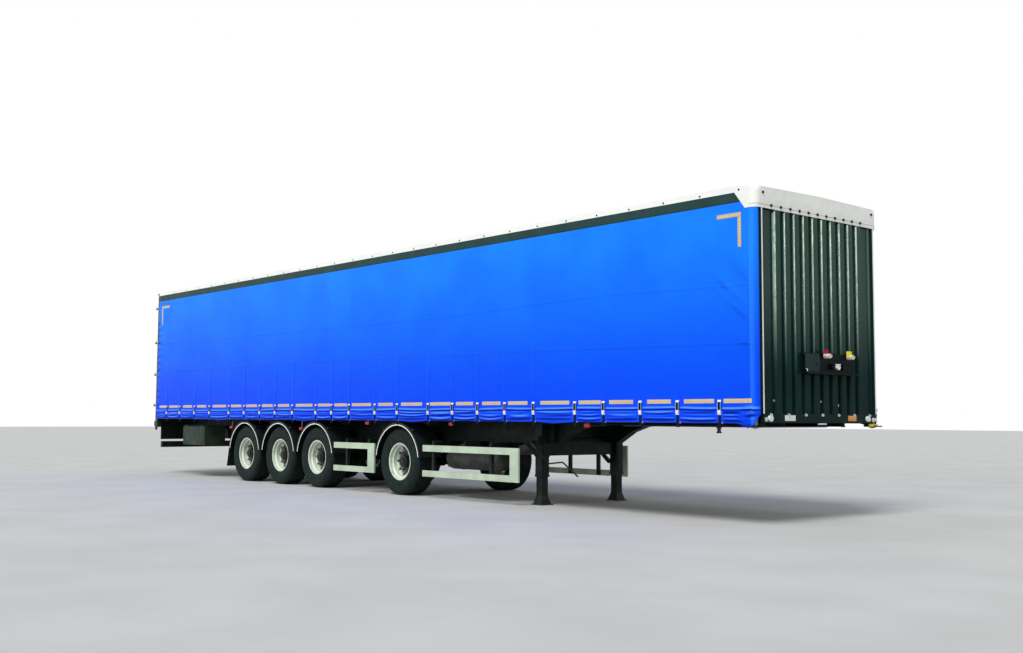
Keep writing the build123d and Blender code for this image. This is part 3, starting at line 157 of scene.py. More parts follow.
class Finish:
    """One procedural material, with short names for the nodes that the finishes share."""

    def __init__(self, name, roughness, metallic=0.0, coat=0.0, specular=0.5):
        self.material = bpy.data.materials.new(name)
        self.material.use_nodes = True
        self.nodes = self.material.node_tree.nodes
        self.links = self.material.node_tree.links
        self.shader = self.nodes["Principled BSDF"]
        self.shader.inputs["Roughness"].default_value = roughness
        self.shader.inputs["Metallic"].default_value = metallic
        self.shader.inputs["Coat Weight"].default_value = coat
        self.shader.inputs["Specular IOR Level"].default_value = specular
        self.place = self.nodes.new("ShaderNodeTexCoord").outputs["Object"]

    def put(self, value, socket):
        """Set a socket from a number, a colour or another node's output."""
        if isinstance(value, bpy.types.NodeSocket):
            self.links.new(value, socket)
        elif hasattr(value, "__len__") and socket.type == "RGBA":
            socket.default_value = (*value[:3], 1)
        else:
            socket.default_value = value

    def scaled(self, scale):
        """The object's coordinates, stretched by three factors."""
        node = self.nodes.new("ShaderNodeMapping")
        self.links.new(self.place, node.inputs["Vector"])
        node.inputs["Scale"].default_value = scale
        return node.outputs[0]

    def noise(self, scale, detail=4.0, stretch=(1, 1, 1)):
        """Cloudy noise, so many times to the metre."""
        node = self.nodes.new("ShaderNodeTexNoise")
        self.put(self.scaled(stretch), node.inputs["Vector"])
        node.inputs["Scale"].default_value = scale
        node.inputs["Detail"].default_value = detail
        return node.outputs["Fac"]

    def ramp(self, value, low, high, start=0.0, end=1.0):
        """value from low..high to start..end, smoothly and clamped."""
        node = self.nodes.new("ShaderNodeMapRange")
        node.interpolation_type = "SMOOTHSTEP"
        for socket, number in zip(node.inputs, (value, low, high, start, end)):
            self.put(number, socket)
        return node.outputs[0]

    def maths(self, operation, a, b=0.0, c=0.0):
        """One sum of up to three values."""
        node = self.nodes.new("ShaderNodeMath")
        node.operation = operation
        for socket, number in zip(node.inputs, (a, b, c)):
            self.put(number, socket)
        return node.outputs[0]

    def mix(self, share, a, b):
        """Colour a, with a share of colour b over it."""
        node = self.nodes.new("ShaderNodeMix")
        node.data_type = "RGBA"
        self.put(share, node.inputs[0])
        self.put(a, node.inputs[6])
        self.put(b, node.inputs[7])
        return node.outputs[2]

    def axis(self, name):
        """One coordinate, X, Y or Z, in metres on the trailer."""
        node = self.nodes.new("ShaderNodeSeparateXYZ")
        self.links.new(self.place, node.inputs[0])
        return node.outputs[name]

    def zone(self, low, high):
        """1 inside a box given by two corners, 0 outside. None leaves an end open."""
        share = 1.0
        for name, a, b in zip("XYZ", low, high):
            if a is None:
                continue
            inside = self.maths("COMPARE", self.axis(name), (a + b) / 2, (b - a) / 2)
            share = self.maths("MULTIPLY", share, inside)
        return share

    def facing(self, name, smooth=False):
        """How far the surface faces along one axis, from -1 to 1."""
        place = self.nodes.new("ShaderNodeNewGeometry")
        node = self.nodes.new("ShaderNodeSeparateXYZ")
        self.links.new(place.outputs["Normal" if smooth else "True Normal"], node.inputs[0])
        return node.outputs[name]

    def sideways(self, low, high, start=0.0, end=1.0):
        """start on faces that look ahead, back, up or down, end on faces that look to a side."""
        return self.ramp(self.maths("ABSOLUTE", self.facing("Y")), low, high, start, end)

    def bump(self, height, distance):
        """Dent or grain the surface by height, up to distance in metres."""
        node = self.nodes.new("ShaderNodeBump")
        node.inputs["Distance"].default_value = distance
        self.links.new(height, node.inputs["Height"])
        current = self.shader.inputs["Normal"]
        if current.is_linked:
            self.links.new(current.links[0].from_socket, node.inputs["Normal"])
        self.links.new(node.outputs[0], current)

    def colour(self, value):
        """Set the colour."""
        self.put(value, self.shader.inputs["Base Color"])

    def over(self, share, colour):
        """Lay a share of a colour over what the finish has so far."""
        self.colour(self.mix(share, self.shader.inputs["Base Color"].links[0].from_socket, colour))

    def rough(self, value):
        """Set how rough the surface is."""
        self.put(value, self.shader.inputs["Roughness"])

    def uneven(self, base, shift=0.12, scale=3.0):
        """A colour that wanders a little darker and lighter over the piece."""
        darker = tuple(c * (1 - shift) for c in base)
        lighter = tuple(min(1.0, c * (1 + shift)) for c in base)
        return self.mix(self.ramp(self.noise(scale), 0.3, 0.7), darker, lighter)

    def dusty(self, colour, low, high, amount, scale=6.0):
        """Road dust, thick below the height low and gone above high, broken up by noise."""
        depth = self.ramp(self.axis("Z"), low, high, amount, 0.0)
        patches = self.ramp(self.noise(scale, 8.0), 0.35, 0.75)
        return self.mix(self.maths("MULTIPLY", depth, patches), colour, DUST)

    def settled(self, colour, amount):
        """Pale dust that lies on faces that look up."""
        patches = self.ramp(self.noise(12.0, 6.0), 0.25, 0.7, 0.35, 1.0)
        lying = self.ramp(self.facing("Z"), 0.70, 0.97, 0.0, amount)
        return self.mix(self.maths("MULTIPLY", lying, patches), colour, DUST)


print("finish maker ready")

# %% [markdown]
# ## Painted steel and plastic
# Chassis paint is nearly black and satin, with dust low down. White paint on the rear frame and the
# doors is glossier and streaked where rain has run. Plain colour alone would look like a toy, so each
# finish gets an uneven tone, a fine orange-peel bump and its own dirt.

# %% Paints


def paint(name, base, roughness, dust=(0.0, 0.0, 0.0), streaks=0.0, gloss=0.15, peel=0.00015, settled=0.0):
    """Sprayed paint: uneven tone, orange peel, rain streaks, dust as (low, high, amount) and settled."""
    finish = Finish(name, roughness, specular=gloss)
    tone = finish.uneven(base)
    if streaks:
        runs = finish.ramp(finish.noise(26.0, 3.0, (1, 1, 0.035)), 0.48, 0.72, 0.0, streaks)
        tone = finish.mix(runs, tone, DUST)
    low, high, amount = dust
    if amount:
        tone = finish.dusty(tone, low, high, amount)
    if settled:
        tone = finish.settled(tone, settled)
    finish.colour(tone)
    finish.rough(finish.ramp(finish.noise(9.0), 0.3, 0.7, roughness * 0.85, min(1.0, roughness * 1.25)))
    finish.bump(finish.noise(420.0, 2.0), peel)
    return finish


chassis_paint = paint("chassis_paint", (0.004, 0.008, 0.0075), 0.42, (0.35, 1.25, 0.06), settled=0.5)
post_paint = paint("post_paint", (0.78, 0.79, 0.74), 0.35, (0.9, 2.2, 0.25), 0.08, gloss=0.4)
door_paint = paint("door_paint", (0.76, 0.78, 0.76), 0.30, (1.1, 2.6, 0.30), 0.08, gloss=0.4)
slate_paint = paint("slate_paint", (0.014, 0.045, 0.044), 0.40, streaks=0.02)
yellow_paint = paint("yellow_paint", (0.70, 0.52, 0.02), 0.4)
box_plastic = paint("box_plastic", (0.017, 0.034, 0.022), 0.46, (0.6, 1.1, 0.10), peel=0.0004)
tank_paint = paint("tank_paint", (0.026, 0.030, 0.026), 0.45, (0.35, 0.9, 0.2), peel=0.0003)
black_plastic = paint("black_plastic", (0.006, 0.009, 0.009), 0.36, (0.2, 1.2, 0.08), peel=0.0003)
print("paints", chassis_paint.material.name, post_paint.material.name)

# %% [markdown]
# ## Paint that changes with its place
# The front wall is a dark green gloss. Its gloss rises with height, most on the sides of its ribs, and it is
# dull low down. Its colour is painted a lighter green high up, a painted sheen where the ribs reflect the
# sky, so its gloss and colour follow height and the way a face looks. The white corner strips have dark
# sides, and the rear frame is dark at its foot and on its outer sides. Cutting the mesh into parts would do
# the same, but a mask on the paint keeps each CAD node whole.

# %% Wall, corner strips and rear frame
FOOT_OF_FRAME = 1.19
wall_paint = paint("wall_paint", (0.002, 0.017, 0.016), 0.23, (1.30, 1.6, 0.03), 0.01, peel=0.00001)
upper_sheen = wall_paint.ramp(wall_paint.axis("Z"), 1.7, 2.9)
wall_gloss = wall_paint.maths("MULTIPLY_ADD", upper_sheen, wall_paint.sideways(0.6, 0.8, 0.20, 1.0), 0.04)
wall_paint.put(wall_gloss, wall_paint.shader.inputs["Specular IOR Level"])
wall_paint.put((0.80, 1.0, 0.78), wall_paint.shader.inputs["Specular Tint"])
# Painted sheen: the wall's colour turns a lighter green high up, in place of the sky's reflection on the
# ribs.
wall_paint.over(upper_sheen, (0.002, 0.029, 0.026))

trim_paint = paint("trim_paint", (0.74, 0.76, 0.72), 0.35)
trim_paint.over(trim_paint.sideways(0.5, 0.7), (0.01, 0.016, 0.016))

rear_paint = paint("rear_paint", (0.78, 0.79, 0.74), 0.35, (0.9, 2.2, 0.25), 0.08, gloss=0.4)
below = rear_paint.maths("LESS_THAN", rear_paint.axis("Z"), FOOT_OF_FRAME)
rear_paint.over(rear_paint.maths("MAXIMUM", rear_paint.sideways(0.5, 0.7), below), (0.012, 0.020, 0.020))
print("wall", wall_paint.material.name, "strips", trim_paint.material.name)

# %% [markdown]
# ## Bare metal
# Guards are pale anodised aluminium with the faint lines of drawing along their length. Bolts and
# buckles are zinc-plated, the king pin is dark greased steel and the inside pillars are mill finish.

# %% Metals


def metal(name, base, roughness, metallic=0.85, stretch=(1, 1, 1), lines=180.0, dust=(0.0, 0.0, 0.0)):
    """Plated or drawn metal, with fine lines along the direction that stretch leaves long."""
    finish = Finish(name, roughness, metallic=metallic)
    tone = finish.uneven(base, 0.10, 5.0)
    low, high, amount = dust
    if amount:
        tone = finish.dusty(tone, low, high, amount)
    finish.colour(tone)
    grain = finish.noise(lines, 2.0, stretch)
    finish.rough(finish.ramp(grain, 0.3, 0.7, roughness * 0.8, min(1.0, roughness * 1.3)))
    finish.bump(grain, 0.00008)
    return finish


guard_metal = metal("guard_metal", (0.46, 0.56, 0.42), 0.48, 0.15, (0.04, 1, 1), 260.0, (0.30, 0.85, 0.15))
zinc = metal("zinc", (0.62, 0.64, 0.63), 0.34, 0.9)
pillar_metal = metal("pillar_metal", (0.55, 0.56, 0.55), 0.38, 0.9, (1, 1, 0.03))
pole_metal = metal("pole_metal", (0.20, 0.21, 0.21), 0.40, 0.6)
nut_metal = metal("nut_metal", (0.10, 0.12, 0.10), 0.45, 0.5)
greased_steel = metal("greased_steel", (0.055, 0.052, 0.048), 0.30, 0.7)
print("metals", guard_metal.material.name, zinc.material.name)

# %% [markdown]
# ## Lenses and reflectors
# A lens is clear coloured plastic over a bright back. A smooth saturated surface with a small
# pyramid bump reads as one at this size without tracing real refraction.

# %% Lenses


def lens(name, base):
    """Moulded lens plastic with a fine checked pattern."""
    finish = Finish(name, 0.16, coat=0.5)
    checks = finish.nodes.new("ShaderNodeTexVoronoi")
    finish.put(finish.scaled((1, 1, 1)), checks.inputs["Vector"])
    checks.inputs["Scale"].default_value = 130.0
    deeper = tuple(c * 0.7 for c in base)
    finish.colour(finish.mix(finish.ramp(checks.outputs["Distance"], 0.0, 0.7), base, deeper))
    finish.bump(checks.outputs["Distance"], 0.0006)
    return finish


amber_lens = lens("amber_lens", (0.80, 0.27, 0.02))
clear_lens = lens("clear_lens", (0.66, 0.72, 0.72))
print("lenses", amber_lens.material.name, clear_lens.material.name)

# %% [markdown]
# ## Wheels: silver paint and a dark hub
# The rim and its hub are one CAD node, so the dark hub is painted by distance from the wheel's own
# axis. The coordinates turn with the wheel, so the paint stays put when it rolls.

# %% Rim paint
AXLE_STATIONS = (7.160, 9.690, 10.990, 12.290)
WHEEL_Z = 0.536
HUB_PAINT_RADIUS = 0.143
GRIME_AND_SHADE_FROM, GRIME_AND_SHADE_TO = 0.252, 0.185
SILVER, DULL_SILVER = (0.60, 0.67, 0.55), (0.42, 0.46, 0.36)
BRAKE_GRIME_AND_SHADE = (0.030, 0.044, 0.032)
HUB_BLACK = (0.004, 0.006, 0.006)


def distance_from_axle(finish, station):
    """Distance of each point from one axle's centre line."""
    across = finish.maths("SUBTRACT", finish.axis("X"), x_at(station))
    above = finish.maths("SUBTRACT", finish.axis("Z"), WHEEL_Z)
    squares = finish.maths("ADD", finish.maths("POWER", across, 2.0), finish.maths("POWER", above, 2.0))
    return finish.maths("SQRT", squares)


def rim_paint(number, station):
    """Silver that darkens towards the hub, partly with brake grime and partly as painted shade of the deep
    dish.
    """
    finish = Finish(f"rim_paint_{number}", 0.34, metallic=0.1, specular=0.4)
    radius = distance_from_axle(finish, station)
    silver = finish.mix(finish.ramp(finish.noise(14.0, 6.0), 0.45, 0.8), SILVER, DULL_SILVER)
    # Brake grime and painted shade: the silver darkens towards the hub, where the deep dish lies in shade.
    near_hub = finish.ramp(radius, GRIME_AND_SHADE_TO, GRIME_AND_SHADE_FROM, 0.97, 0.0)
    grime_and_shade = finish.maths("MULTIPLY", near_hub, finish.ramp(finish.noise(9.0), 0.25, 0.6, 0.8, 1.0))
    soiled_and_shaded = finish.mix(grime_and_shade, silver, BRAKE_GRIME_AND_SHADE)
    hub = finish.uneven(HUB_BLACK, 0.3, 20.0)
    outside_hub = finish.ramp(radius, HUB_PAINT_RADIUS - 0.002, HUB_PAINT_RADIUS + 0.002)
    finish.colour(finish.mix(outside_hub, hub, soiled_and_shaded))
    finish.bump(finish.noise(300.0, 2.0), 0.00015)
    return finish


rim_paints = [rim_paint(number, station) for number, station in enumerate(AXLE_STATIONS, start=1)]
print("rim paints", len(rim_paints))

# %% [markdown]
# ## Mudguards with a pale edge
# The turned-in outer lip of each black mudguard ends in a thin bead painted white, partly a pale bead and
# partly a painted highlight of the glint on the lip's rounded edge. It runs round the wheel at one distance
# from the axle, so its colour follows the distance to the nearest of the four axles.

# %% Mudguard plastic
BEAD_OUTSIDE = 0.5915
LIP_WIDTH_FROM = 1.2548
mudguard_plastic = Finish("mudguard_plastic", 0.34, specular=0.3)
black = mudguard_plastic.dusty(mudguard_plastic.uneven((0.007, 0.012, 0.012)), 0.3, 1.15, 0.06, 9.0)
nearest = distance_from_axle(mudguard_plastic, AXLE_STATIONS[0])
for station in AXLE_STATIONS[1:]:
    nearest = mudguard_plastic.maths("MINIMUM", nearest, distance_from_axle(mudguard_plastic, station))
on_bead = mudguard_plastic.ramp(nearest, BEAD_OUTSIDE, BEAD_OUTSIDE + 0.001, 1.0, 0.0)
outward = mudguard_plastic.maths("ABSOLUTE", mudguard_plastic.axis("Y"))
on_lip = mudguard_plastic.ramp(outward, LIP_WIDTH_FROM, LIP_WIDTH_FROM + 0.0006)
# Pale bead and painted highlight: the white on the lip's edge stands in partly for its glint.
bead_and_glint_share = mudguard_plastic.maths("MULTIPLY", on_bead, on_lip)
mudguard_plastic.colour(mudguard_plastic.mix(bead_and_glint_share, black, (0.95, 0.97, 0.94)))
mudguard_plastic.bump(mudguard_plastic.noise(250.0, 3.0), 0.0004)
print("bead to", BEAD_OUTSIDE)

# %% [markdown]
# ## Rubber
# Tyre rubber is charcoal, never black, and dry dust sits in its rings. Bellows have moulded rings.

# %% Rubber


def rubber(name, base, dust_amount, rings=0.0):
    """Moulded rubber with dust in its grain, and rings round it so many radians to the metre."""
    finish = Finish(name, 0.60, specular=0.12)
    tone = finish.uneven(base, 0.25, 12.0)
    tone = finish.mix(finish.ramp(finish.noise(30.0, 8.0), 0.5, 0.8, 0.0, dust_amount), tone, DUST)
    finish.colour(tone)
    finish.bump(finish.noise(500.0, 2.0), 0.0003)
    if rings:
        wave = finish.maths("SINE", finish.maths("MULTIPLY", finish.axis("Z"), rings))
        finish.bump(wave, 0.003)
    return finish


tyre_rubber = rubber("tyre_rubber", (0.007, 0.015, 0.013), 0.06)
bellows_rubber = rubber("bellows_rubber", (0.016, 0.016, 0.017), 0.15, rings=2 * pi / 0.03)
print("rubber", tyre_rubber.material.name)

# %% [markdown]
# ## Cloth finishes
# Curtain cloth is a polyester weave under a glossy vinyl coat. It is a strong blue, painted a little
# lighter high up as a painted sheen of the bright sky. The roof is the same stuff in white.

# %% Coated cloth


def coated_cloth(name, low_colour, high_colour, z_low, z_high, roughness, streaks, specular):
    """Vinyl-coated weave whose tone runs from one height to another."""
    finish = Finish(name, roughness, specular=specular)
    height = finish.ramp(finish.axis("Z"), z_low, z_high)
    tone = finish.mix(height, low_colour, high_colour)
    patches = finish.ramp(finish.noise(1.1, 5.0), 0.35, 0.7, 0.0, 0.25)
    tone = finish.mix(patches, tone, tuple(c * 0.86 for c in low_colour))
    runs = finish.ramp(finish.noise(18.0, 4.0, (1, 1, 0.06)), 0.52, 0.8, 0.0, streaks)
    tone = finish.mix(runs, tone, tuple(0.72 * c + 0.012 for c in low_colour))
    finish.colour(finish.dusty(tone, z_low, z_low + 0.30, 0.03, 5.0))
    finish.rough(finish.ramp(finish.noise(4.0), 0.3, 0.7, roughness * 0.9, roughness * 1.2))
    weave = finish.nodes.new("ShaderNodeTexWave")
    finish.put(finish.scaled((1, 1, 1)), weave.inputs["Vector"])
    weave.bands_direction = "Z"
    weave.inputs["Scale"].default_value = 160.0
    finish.bump(weave.outputs["Fac"], 0.00008)
    finish.bump(finish.noise(14.0, 3.0), 0.0006)
    return finish


BLUE_LOW, BLUE_SHEEN_HIGH = (0.0, 0.062, 0.84), (0.008, 0.225, 0.90)
WHITE_LOW, WHITE_HIGH = (0.78, 0.78, 0.73), (0.84, 0.84, 0.79)
# Painted sheen: the curtain's blue is lighter with height, in place of the sky's reflection at a grazing
# angle.
curtain_cloth = coated_cloth("curtain_cloth", BLUE_LOW, BLUE_SHEEN_HIGH, 1.3, 4.1, 0.36, 0.10, 0.07)
roof_cloth = coated_cloth("roof_cloth", WHITE_LOW, WHITE_HIGH, 3.6, 4.0, 0.42, 0.06, 0.4)
print("cloth", curtain_cloth.material.name)

# %% [markdown]
# ## Painted light and shade on the folds
# The upper side of each fold is painted lighter and its underside darker, a painted highlight and painted
# shade that follow the smooth normal. The hem is a dark band of painted shade, and the cloth is painted paler
# where it bends round its pole, a painted highlight. On the roof a seam runs round the cap, and soot lies
# on the faces that look up.

# %% Cloth tones
HEM_SHADE_FOOT, HEM_SHADE_TOP = 1.168, 1.205
POLE_STATIONS = (0.104, 0.092, 0.075, 0.030)
CAP_SEAM = ((8.10, None, 3.7425), (8.30, None, 3.7475))
# Painted shade: the lowest few centimetres of the cloth are darkened, where the hem lies in shade.
painted_hem_shade = curtain_cloth.ramp(curtain_cloth.axis("Z"), HEM_SHADE_FOOT, HEM_SHADE_TOP, 0.75, 0.0)
curtain_cloth.over(painted_hem_shade, (0.001, 0.010, 0.20))
upward = curtain_cloth.facing("Z", smooth=True)
# Painted highlight: faces of the folds that look up are painted a lighter blue.
curtain_cloth.over(curtain_cloth.ramp(upward, 0.10, 0.55, 0.0, 0.75), (0.075, 0.27, 1.0))
bend_back, bend_crest, bend_front, bend_end = (x_at(station) for station in POLE_STATIONS)
# Painted highlight: a paler band where the cloth bends onto its pole, the light line at the roll's edge.
onto_pole = curtain_cloth.ramp(curtain_cloth.axis("X"), bend_back, bend_crest, 0.0, 0.28)
past_pole = curtain_cloth.ramp(curtain_cloth.axis("X"), bend_front, bend_end, 1.0, 0.0)
curtain_cloth.over(curtain_cloth.maths("MULTIPLY", onto_pole, past_pole), (0.030, 0.30, 1.0))
# Painted shade: faces of the folds that look down are painted a darker blue.
curtain_cloth.over(curtain_cloth.ramp(upward, -0.40, -0.03, 0.85, 0.0), (0.0, 0.008, 0.30))

roof_cloth.over(roof_cloth.zone(*CAP_SEAM), (0.16, 0.16, 0.15))
on_top = roof_cloth.ramp(roof_cloth.facing("Z"), 0.80, 0.95, 0.0, 1.0)
soot = roof_cloth.ramp(roof_cloth.noise(1.6, 5.0), 0.3, 0.7, 0.72, 1.0)
roof_cloth.over(roof_cloth.maths("MULTIPLY", on_top, soot), (0.40, 0.41, 0.39))
roof_cloth.bump(roof_cloth.noise(4.0, 2.0), 0.012)
print("hem band under", HEM_SHADE_TOP, "m")

# %% [markdown]
# ## Tape, webbing and boards
# Reflecting tape is a row of small pale gold blocks. Webbing is woven and dark blue, and the plated
# buckle on it is bright at its top and foot with a dark slot between. The floor is brown board with a
# pressed grip pattern.

# %% Tape, webbing and boards


def reflecting_tape(name, base, joint, block_length):
    """Film in short blocks along X and Z, with thin pale joints."""
    finish = Finish(name, 0.35, specular=0.3)
    edges = None
    for axis_name in ("X", "Z"):
        wave = finish.maths("SINE", finish.maths("MULTIPLY", finish.axis(axis_name), pi / block_length))
        line = finish.ramp(finish.maths("ABSOLUTE", wave), 0.30, 0.50, 1.0, 0.0)
        edges = line if edges is None else finish.maths("MAXIMUM", edges, line)
    warm = finish.ramp(finish.noise(3.0, 2.0), 0.4, 0.6)
    tone = finish.mix(warm, base, (base[0], base[1] * 1.25, base[2] * 0.9))
    finish.colour(finish.mix(edges, tone, joint))
    finish.bump(edges, 0.0002)
    return finish


gold_tape = reflecting_tape("gold_tape", (0.72, 0.43, 0.18), (0.40, 0.37, 0.31), 0.0345)
webbing = Finish("webbing", 0.7, specular=0.12)
# middle height and half height of the buckle's two bright zones
PLATED_TOP, PLATED_FOOT = (1.4565, 0.0135), (1.3180, 0.0285)
height = webbing.axis("Z")
plated = webbing.maths("MAXIMUM", webbing.maths("COMPARE", height, *PLATED_TOP),
                       webbing.maths("COMPARE", height, *PLATED_FOOT))
thread = webbing.ramp(webbing.noise(900.0, 1.0, (1, 1, 0.2)), 0.35, 0.65)
strap_tone = webbing.mix(thread, (0.001, 0.004, 0.022), (0.002, 0.009, 0.050))
webbing.colour(webbing.mix(plated, strap_tone, (0.78, 0.84, 0.88)))
webbing.rough(webbing.ramp(plated, 0.0, 1.0, 0.75, 0.33))
webbing.put(webbing.ramp(plated, 0.0, 1.0, 0.0, 0.35), webbing.shader.inputs["Metallic"])
webbing.bump(thread, 0.0003)

floor_board = Finish("floor_board", 0.55)
grip = floor_board.nodes.new("ShaderNodeTexVoronoi")
grip.inputs["Scale"].default_value = 110.0
floor_board.put(floor_board.scaled((1, 1, 1)), grip.inputs["Vector"])
floor_board.colour(floor_board.uneven((0.105, 0.058, 0.030), 0.25, 2.0))
floor_board.bump(grip.outputs["Distance"], 0.0008)
print("tape", gold_tape.material.name, "boards", floor_board.material.name)

# %% [markdown]
# ## Lamps and couplings
# The CAD keeps lamps and brackets in one node, and the air couplings with their panel, so each colour
# is laid on by where the part sits: lenses stand outside their brackets, and the two coupling hoods
# are a few centimetres of red and yellow over grey-white bodies.

# %% Lamp and panel finishes
RED, AMBER, CLEAR = (0.30, 0.010, 0.008), (0.80, 0.27, 0.02), (0.62, 0.72, 0.68)
BRACKET_BLACK = (0.012, 0.014, 0.014)
SIDE_LENS_Y = 1.2225
FRONT_LENS = ((8.19, None, None), (8.30, None, None))
REAR_LENS_STATION = 16.352
INDICATOR_Y = 1.01
lamp_finish = Finish("lamp_finish", 0.22, coat=0.2, specular=0.3)
across = lamp_finish.maths("ABSOLUTE", lamp_finish.axis("Y"))
lamp_tone = lamp_finish.mix(lamp_finish.maths("GREATER_THAN", across, SIDE_LENS_Y), BRACKET_BLACK, RED)
lamp_tone = lamp_finish.mix(lamp_finish.zone(*FRONT_LENS), lamp_tone, CLEAR)
rear_lens = lamp_finish.maths("LESS_THAN", lamp_finish.axis("X"), x_at(REAR_LENS_STATION))
rear_tone = lamp_finish.mix(lamp_finish.maths("GREATER_THAN", across, INDICATOR_Y), RED, AMBER)
lamp_finish.colour(lamp_finish.mix(rear_lens, lamp_tone, rear_tone))
lamp_finish.bump(lamp_finish.noise(220.0, 1.0), 0.0004)

panel_finish = Finish("panel_finish", 0.45, specular=0.05)
panel_tone = panel_finish.uneven((0.0015, 0.006, 0.005), 0.3, 9.0)
# low corner, high corner, colour
PANEL_PARTS = (((8.236, -0.420, 1.800), (8.262, -0.115, 2.040), (0.016, 0.034, 0.030)),
               ((8.221, -0.060, 1.974), (8.320, 0.120, 2.046), (0.62, 0.56, 0.52)),
               ((8.221, 0.430, 1.974), (8.320, 0.610, 2.046), (0.60, 0.56, 0.40)),
               ((8.221, -0.060, 2.036), (8.320, 0.120, 2.110), (0.33, 0.008, 0.035)),
               ((8.221, 0.430, 2.036), (8.320, 0.610, 2.110), (0.80, 0.66, 0.03)),
               ((8.221, 0.225, 1.842), (8.320, 0.300, 1.930), (0.78, 0.80, 0.80)))
for low, high, colour in PANEL_PARTS:
    panel_tone = panel_finish.mix(panel_finish.zone(low, high), panel_tone, colour)
panel_finish.colour(panel_finish.settled(panel_tone, 0.10))
panel_finish.bump(panel_finish.noise(200.0, 2.0), 0.0003)
print("panel parts", len(PANEL_PARTS))

# %% [markdown]
# ## Dressing the CAD nodes
# Every CAD node whose shape is right only needs its finish. A table of node and finish is easier to
# read and to change than a line of code for each.

# %% Finishes on the CAD nodes
NODE_FINISHES = {
    "neck_beams": chassis_paint, "main_beams": chassis_paint, "cross_members": chassis_paint,
    "side_rails": chassis_paint, "coupling_plate": greased_steel, "load_floor": floor_board,
    "front_wall": wall_paint, "front_frame": wall_paint, "corner_trims": trim_paint,
    "side_curtains": curtain_cloth, "tension_rolls": curtain_cloth, "curtain_buckles": webbing,
    "cant_rails": slate_paint, "roof_bows": pillar_metal, "roof_cover": roof_cloth,
    "side_posts": pillar_metal, "rear_frame": rear_paint, "rear_buffers": bellows_rubber,
    "side_guard_rails": guard_metal, "side_guard_posts": chassis_paint, "mudguards": mudguard_plastic,
    "axles": chassis_paint, "suspension_arms": chassis_paint, "air_springs": bellows_rubber,
    "landing_gear": chassis_paint, "underrun_bar": chassis_paint, "lamps": lamp_finish,
    "toolbox": box_plastic, "toolbox_lid": box_plastic, "air_tanks": tank_paint,
    "service_panel": panel_finish, "rear_door_right": door_paint, "rear_door_left": door_paint,
}
for number in range(1, len(AXLE_STATIONS) + 1):
    for side_name, _ in SIDES:
        NODE_FINISHES[f"tyre_{side_name}_{number}"] = tyre_rubber
        NODE_FINISHES[f"rim_{side_name}_{number}"] = rim_paints[number - 1]
for node_name, node_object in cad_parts.items():
    node_object.data.materials.clear()
    node_object.data.materials.append(NODE_FINISHES[node_name].material)
print("dressed", len(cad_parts), "nodes")

# %% [markdown]
# ## Making pieces
# Small metal pieces come in hundreds, so each kind is drawn into one mesh and shares a finish.

# %% The piece maker


class Pieces:
    """A mesh that many small forms are drawn into."""

    def __init__(self):
        self.mesh = bmesh.new()

    def rod(self, start, end, radius, sides=16, end_radius=None):
        """A round bar or cone between two points."""
        start, end = Vector(start), Vector(end)
        line = end - start
        turn = line.to_track_quat("Z", "Y").to_matrix().to_4x4()
        place = Matrix.Translation((start + end) / 2) @ turn
        bmesh.ops.create_cone(self.mesh, cap_ends=True, segments=sides, radius1=radius,
                              radius2=radius if end_radius is None else end_radius,
                              depth=line.length, matrix=place)

    def block(self, low, high, bevel=0.0):
        """A block between two corners with softened edges."""
        low, high = Vector(low), Vector(high)
        place = Matrix.Translation((low + high) / 2) @ Matrix.Diagonal((*(high - low), 1))
        made = bmesh.ops.create_cube(self.mesh, size=1.0, matrix=place)
        if bevel:
            edges = []
            for corner in made["verts"]:
                edges += [edge for edge in corner.link_edges if edge not in edges]
            bmesh.ops.bevel(self.mesh, geom=edges, offset=bevel, segments=2, affect="EDGES",
                            profile=0.7)

    def dome(self, centre, axis, radius, height, sides=20):
        """A rounded head: a low cylinder with a smaller top."""
        centre, axis = Vector(centre), Vector(axis).normalized()
        self.rod(centre, centre + axis * height * 0.55, radius, sides)
        self.rod(centre + axis * height * 0.55, centre + axis * height, radius, sides, radius * 0.55)

    def bolt(self, centre, axis, width, height):
        """A six-sided bolt head on a round washer."""
        centre, axis = Vector(centre), Vector(axis).normalized()
        self.rod(centre, centre + axis * height * 0.25, width * 0.75, 20)
        self.rod(centre + axis * height * 0.25, centre + axis * height, width * 0.55, 6)

    def make(self, name, finish, body=CHASSIS, slot=None):
        """The finished piece, riding on a body."""
        bmesh.ops.recalc_face_normals(self.mesh, faces=self.mesh.faces)
        data = bpy.data.meshes.new(name)
        self.mesh.to_mesh(data)
        self.mesh.free()
        return dress(name, data, finish, body)


def dress(name, data, finish, body=CHASSIS, sharp=35):
    """Turn mesh data into a piece with its finish and body."""
    data.materials.append(finish.material)
    data.shade_smooth()
    data.set_sharp_from_angle(angle=radians(sharp))
    piece = bpy.data.objects.new(name, data)
    bpy.context.scene.collection.objects.link(piece)
    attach(piece, body)
    return piece


def triangles(piece):
    """How many triangles a piece has."""
    return sum(len(polygon.vertices) - 2 for polygon in piece.data.polygons)


print("piece maker ready")

# %% [markdown]
# ## The curtains
# Each curtain is one sheet of cloth over 16 m long, wound a little way round its front roll and pulled
# down by straps. A flat board would look dead, and a simulated cloth would lose the straight pull of
# the straps, so the sheet is a fine grid whose distance from the frame is a sum of simple forms: one
# long ridge and three lower folds that run from strap to strap, upright pockets above each strap,
# weld seams, and small scallops down the rear edge.

